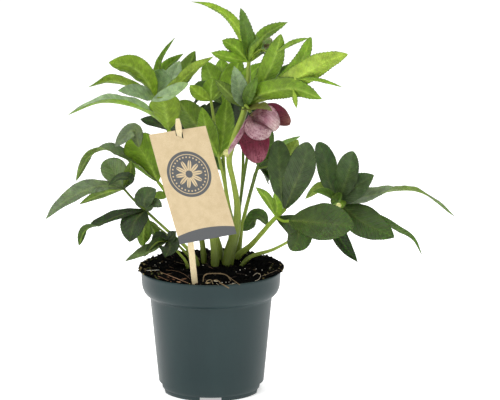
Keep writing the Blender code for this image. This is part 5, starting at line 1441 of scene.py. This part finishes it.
def make_fine_tag(card):
    """The card, slightly curled, with the hole that the stake passes through."""
    top_left = spot(*TAG_TOP_LEFT)
    across = (spot(*TAG_TOP_RIGHT) - top_left).normalized()
    down = spot(*TAG_BOTTOM_LEFT) - top_left
    down = (down - across * down.dot(across)).normalized()
    frame_of = Matrix((across, down * -1, across.cross(down * -1))).transposed().to_4x4()
    frame_of.translation = top_left + (across * TAG_WIDTH + down * TAG_HEIGHT) * (MM / 2)

    def bend(place):
        curl = 0.5 * (place.x / (TAG_WIDTH / 2)) ** 2 + 0.9 * (place.y / (TAG_HEIGHT / 2)) ** 2
        return Vector((0, 0, curl * 0.6 - 0.75 + 0.25 * noise.noise(place * 0.03)))

    tag = grid_box("tag_fine", (TAG_WIDTH - 0.1, TAG_HEIGHT - 0.1, TAG_THICKNESS * 0.6), (28, 50, 1),
                   frame_of, bend, card)
    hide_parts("tag")
    stake, height = stake_frame()
    cutter_mesh = bpy.data.meshes.new("slit")
    cage = bmesh.new()
    bmesh.ops.create_cube(cage, size=1.0)
    cage.transform(stake @ Matrix.Diagonal(((STAKE_WIDTH + 0.9) * MM, height * MM,
                                            (STAKE_THICKNESS + 0.9) * MM, 1)))
    cage.to_mesh(cutter_mesh)
    cage.free()
    cutter = bpy.data.objects.new("slit", cutter_mesh)
    bpy.context.scene.collection.objects.link(cutter)
    hole = tag.modifiers.new("slit", "BOOLEAN")
    hole.operation = "DIFFERENCE"
    hole.object = cutter
    bpy.context.view_layer.update()
    evaluated = tag.evaluated_get(bpy.context.evaluated_depsgraph_get())
    cut_mesh = bpy.data.meshes.new_from_object(evaluated)
    tag.modifiers.clear()
    tag.data = cut_mesh
    bpy.data.objects.remove(cutter)


# How many steps round the pot its outline is turned. The outline, listed in make_fine_pot as (radius, height) in
# mm, runs down the outside, under the foot, and up the inside.
POT_TURNS = 192


def make_fine_pot(plastic):
    """The moulded pot, with a rolled lip, an eased shoulder and the notches at its foot."""
    band_foot = POT_HEIGHT - RIM_BAND_HEIGHT
    outside = [
        (RIM_RADIUS - RIM_THICKNESS + 0.5, POT_HEIGHT - 0.1), (RIM_RADIUS - 0.9, POT_HEIGHT),
        (RIM_RADIUS - 0.25, POT_HEIGHT - 0.35), (RIM_RADIUS, POT_HEIGHT - 1.0),
        (RIM_RADIUS - 0.25, POT_HEIGHT - 2.2), (RIM_RADIUS - 0.35, POT_HEIGHT - 6),
        (RIM_RADIUS - 0.7, band_foot + 3), (RIM_RADIUS - 1.0, band_foot + 0.5),
        (RIM_RADIUS - 1.4, band_foot - 1.4), (RIM_RADIUS - 2.6, band_foot - 4.5),
        (RIM_RADIUS - 4.4, band_foot - 6.8), (RIM_RADIUS - 5.6, SHOULDER_HEIGHT + 1.4),
        (WALL_TOP_RADIUS + 0.9, SHOULDER_HEIGHT + 0.4), (WALL_TOP_RADIUS + 0.1, SHOULDER_HEIGHT - 0.4),
        (WALL_TOP_RADIUS - 0.15, SHOULDER_HEIGHT - 2.2),
        (mix(WALL_TOP_RADIUS, WALL_FOOT_RADIUS, 0.35), mix(SHOULDER_HEIGHT, SIDE_NOTCH_HEIGHT, 0.35)),
        (mix(WALL_TOP_RADIUS, WALL_FOOT_RADIUS, 0.7), mix(SHOULDER_HEIGHT, SIDE_NOTCH_HEIGHT, 0.7)),
        (WALL_FOOT_RADIUS, SIDE_NOTCH_HEIGHT + 1.0), (WALL_FOOT_RADIUS - 0.5, SIDE_NOTCH_HEIGHT - 2.5),
        (FOOT_RADIUS + 1.5, FOOT_BAND_HEIGHT + 0.7), (FOOT_RADIUS + 0.95, FOOT_BAND_HEIGHT + 0.2),
        (FOOT_RADIUS + 0.9, FOOT_BAND_HEIGHT - 0.6), (FOOT_RADIUS + 0.2, 0.3), (FOOT_RADIUS - 0.1, 0.0),
    ]
    rest = [
        (FOOT_RADIUS - WALL_THICKNESS, 0.0), (WALL_FOOT_RADIUS - WALL_THICKNESS - 0.4, FLOOR_RAISE - 1.0),
        (FLOOR_PAD_RADIUS + 8.0, FLOOR_RAISE - 0.2), (FLOOR_PAD_RADIUS + 0.6, 0.6),
        (FLOOR_PAD_RADIUS, 0.0), (0.0, 0.0), (0.0, WALL_THICKNESS),
        (FLOOR_PAD_RADIUS - 0.8, WALL_THICKNESS), (FLOOR_PAD_RADIUS + 7.0, FLOOR_RAISE + 1.6),
        (WALL_FOOT_RADIUS - WALL_THICKNESS, FLOOR_RAISE + 1.8),
        (WALL_TOP_RADIUS - WALL_THICKNESS, SHOULDER_HEIGHT + 0.6),
        (RIM_RADIUS - 4.2, band_foot - 3.6), (RIM_RADIUS - RIM_THICKNESS - 0.5, band_foot + 0.4),
        (RIM_RADIUS - RIM_THICKNESS, POT_HEIGHT - 0.6),
    ]
    profile = outside + rest
    sheet = Sheet()
    rows = []
    for turn in range(POT_TURNS):
        angle = 2 * math.pi * turn / POT_TURNS
        out = Vector((math.cos(angle), math.sin(angle), 0))
        row = []
        for radius, height in profile:
            row.append(sheet.add((out * radius + Vector((0, 0, height))) * MM, (0, 0, 0), (angle, height)))
        rows.append(row)
    for near, far in zip(rows, rows[1:] + rows[:1]):
        sheet.strip(near + near[:1], far + far[:1])
    pot = sheet.piece("pot_fine", plastic, SLOTS["pot"], "pot")
    cage = bmesh.new()
    cage.from_mesh(pot.data)
    bmesh.ops.remove_doubles(cage, verts=cage.verts, dist=0.001 * MM)
    bmesh.ops.recalc_face_normals(cage, faces=cage.faces)
    cage.to_mesh(pot.data)
    cage.free()
    side_width = FOOT_RADIUS * math.sin(SIDE_NOTCH_HALF_ANGLE) * 2
    cutters = []
    for way in (-1, 1):
        for size, place in (((NOTCH_REACH * 2, side_width, SIDE_NOTCH_HEIGHT * 2), (way * WALL_FOOT_RADIUS, 0)),
                            ((FRONT_NOTCH_WIDTH, NOTCH_REACH * 2, FRONT_NOTCH_HEIGHT * 2),
                             (0, way * WALL_FOOT_RADIUS))):
            cage = bmesh.new()
            bmesh.ops.create_cube(cage, size=MM, matrix=Matrix.Diagonal((*size, 1)))
            cage.transform(Matrix.Translation((place[0] * MM, place[1] * MM, 0)))
            mesh = bpy.data.meshes.new("notch")
            cage.to_mesh(mesh)
            cage.free()
            cutter = bpy.data.objects.new("notch", mesh)
            bpy.context.scene.collection.objects.link(cutter)
            cutters.append(cutter)
            hole = pot.modifiers.new("notch", "BOOLEAN")
            hole.operation = "DIFFERENCE"
            hole.object = cutter
    edges = pot.modifiers.new("edges", "BEVEL")
    edges.width = 0.3 * MM
    edges.segments = 2
    edges.limit_method = "ANGLE"
    edges.angle_limit = math.radians(60)
    bpy.context.view_layer.update()
    evaluated = pot.evaluated_get(bpy.context.evaluated_depsgraph_get())
    cut_mesh = bpy.data.meshes.new_from_object(evaluated)
    pot.modifiers.clear()
    pot.data = cut_mesh
    pot.data.shade_smooth()
    pot.data.set_sharp_from_angle(angle=math.radians(40))
    for cutter in cutters:
        bpy.data.objects.remove(cutter)


def area_light(name, place, target, size, power, colour=(1, 1, 1)):
    """A soft rectangular lamp that looks at a point."""
    lamp = bpy.data.lights.new(name, "AREA")
    lamp.shape = "RECTANGLE"
    lamp.size, lamp.size_y = size
    lamp.energy = power
    lamp.color = colour
    made = bpy.data.objects.new(name, lamp)
    bpy.context.scene.collection.objects.link(made)
    made.location = place
    made.rotation_euler = (Vector(target) - Vector(place)).to_track_quat("-Z", "Y").to_euler()


def make_studio():
    """A wide pale floor, soft lights and the camera of the photograph."""
    cage = bmesh.new()
    bmesh.ops.create_grid(cage, x_segments=2, y_segments=2, size=30.0)
    mesh = bpy.data.meshes.new("floor")
    cage.to_mesh(mesh)
    cage.free()
    floor = bpy.data.objects.new("floor", mesh)
    bpy.context.scene.collection.objects.link(floor)
    paper = bpy.data.materials.new("paper")
    paper.use_nodes = True
    shader = paper.node_tree.nodes["Principled BSDF"]
    shader.inputs["Base Color"].default_value = (0.9, 0.9, 0.9, 1)
    shader.inputs["Roughness"].default_value = 0.9
    shader.inputs["Specular IOR Level"].default_value = 0.0
    shader.inputs["Emission Color"].default_value = (1, 1, 1, 1)
    shader.inputs["Emission Strength"].default_value = 0.5
    mesh.materials.append(paper)
    world = bpy.data.worlds.new("studio")
    bpy.context.scene.world = world
    world.use_nodes = True
    sky = world.node_tree.nodes["Background"]
    sky.inputs["Color"].default_value = (1, 1, 1, 1)
    sky.inputs["Strength"].default_value = 0.55
    area_light("key", (-1.3, -1.6, 2.0), (0.0, 0.0, 0.2), (1.0, 1.0), 40)
    area_light("fill", (1.9, -1.4, 1.0), (0.05, 0.0, 0.2), (1.2, 1.6), 6)
    area_light("top", (0.2, 0.5, 2.2), (0.0, 0.0, 0.2), (1.4, 1.4), 30)
    camera = bpy.data.cameras.new("camera")
    camera.sensor_width = 36.0
    camera.lens = 36.0 * EYE_FOCAL_PIXELS / (PICTURE_CENTRE[0] * 2)
    camera.clip_end = 100.0
    eye = bpy.data.objects.new("camera", camera)
    bpy.context.scene.collection.objects.link(eye)
    eye.location = EYE
    eye.rotation_euler = (math.pi / 2 - EYE_PITCH, 0, 0)
    bpy.context.scene.camera = eye
    bpy.context.scene.view_settings.view_transform = "Standard"


def main():
    """Dresses the whole plant."""
    stalks = stalk_material()
    leaves = leaf_material()
    make_fine_pot(pot_material())
    make_fine_soil(earth_material("peat", 0.02, 420), earth_material("litter", 0.15, 260),
                   earth_material("moss", 0.1, 500))
    make_fine_stake(wood_material())
    make_fine_tag(card_material())
    for name, frond in FRONDS.items():
        fine_frond(name, frond, leaves, stalks)
    make_fine_flower(sepal_material(), stalks)
    make_studio()


main()
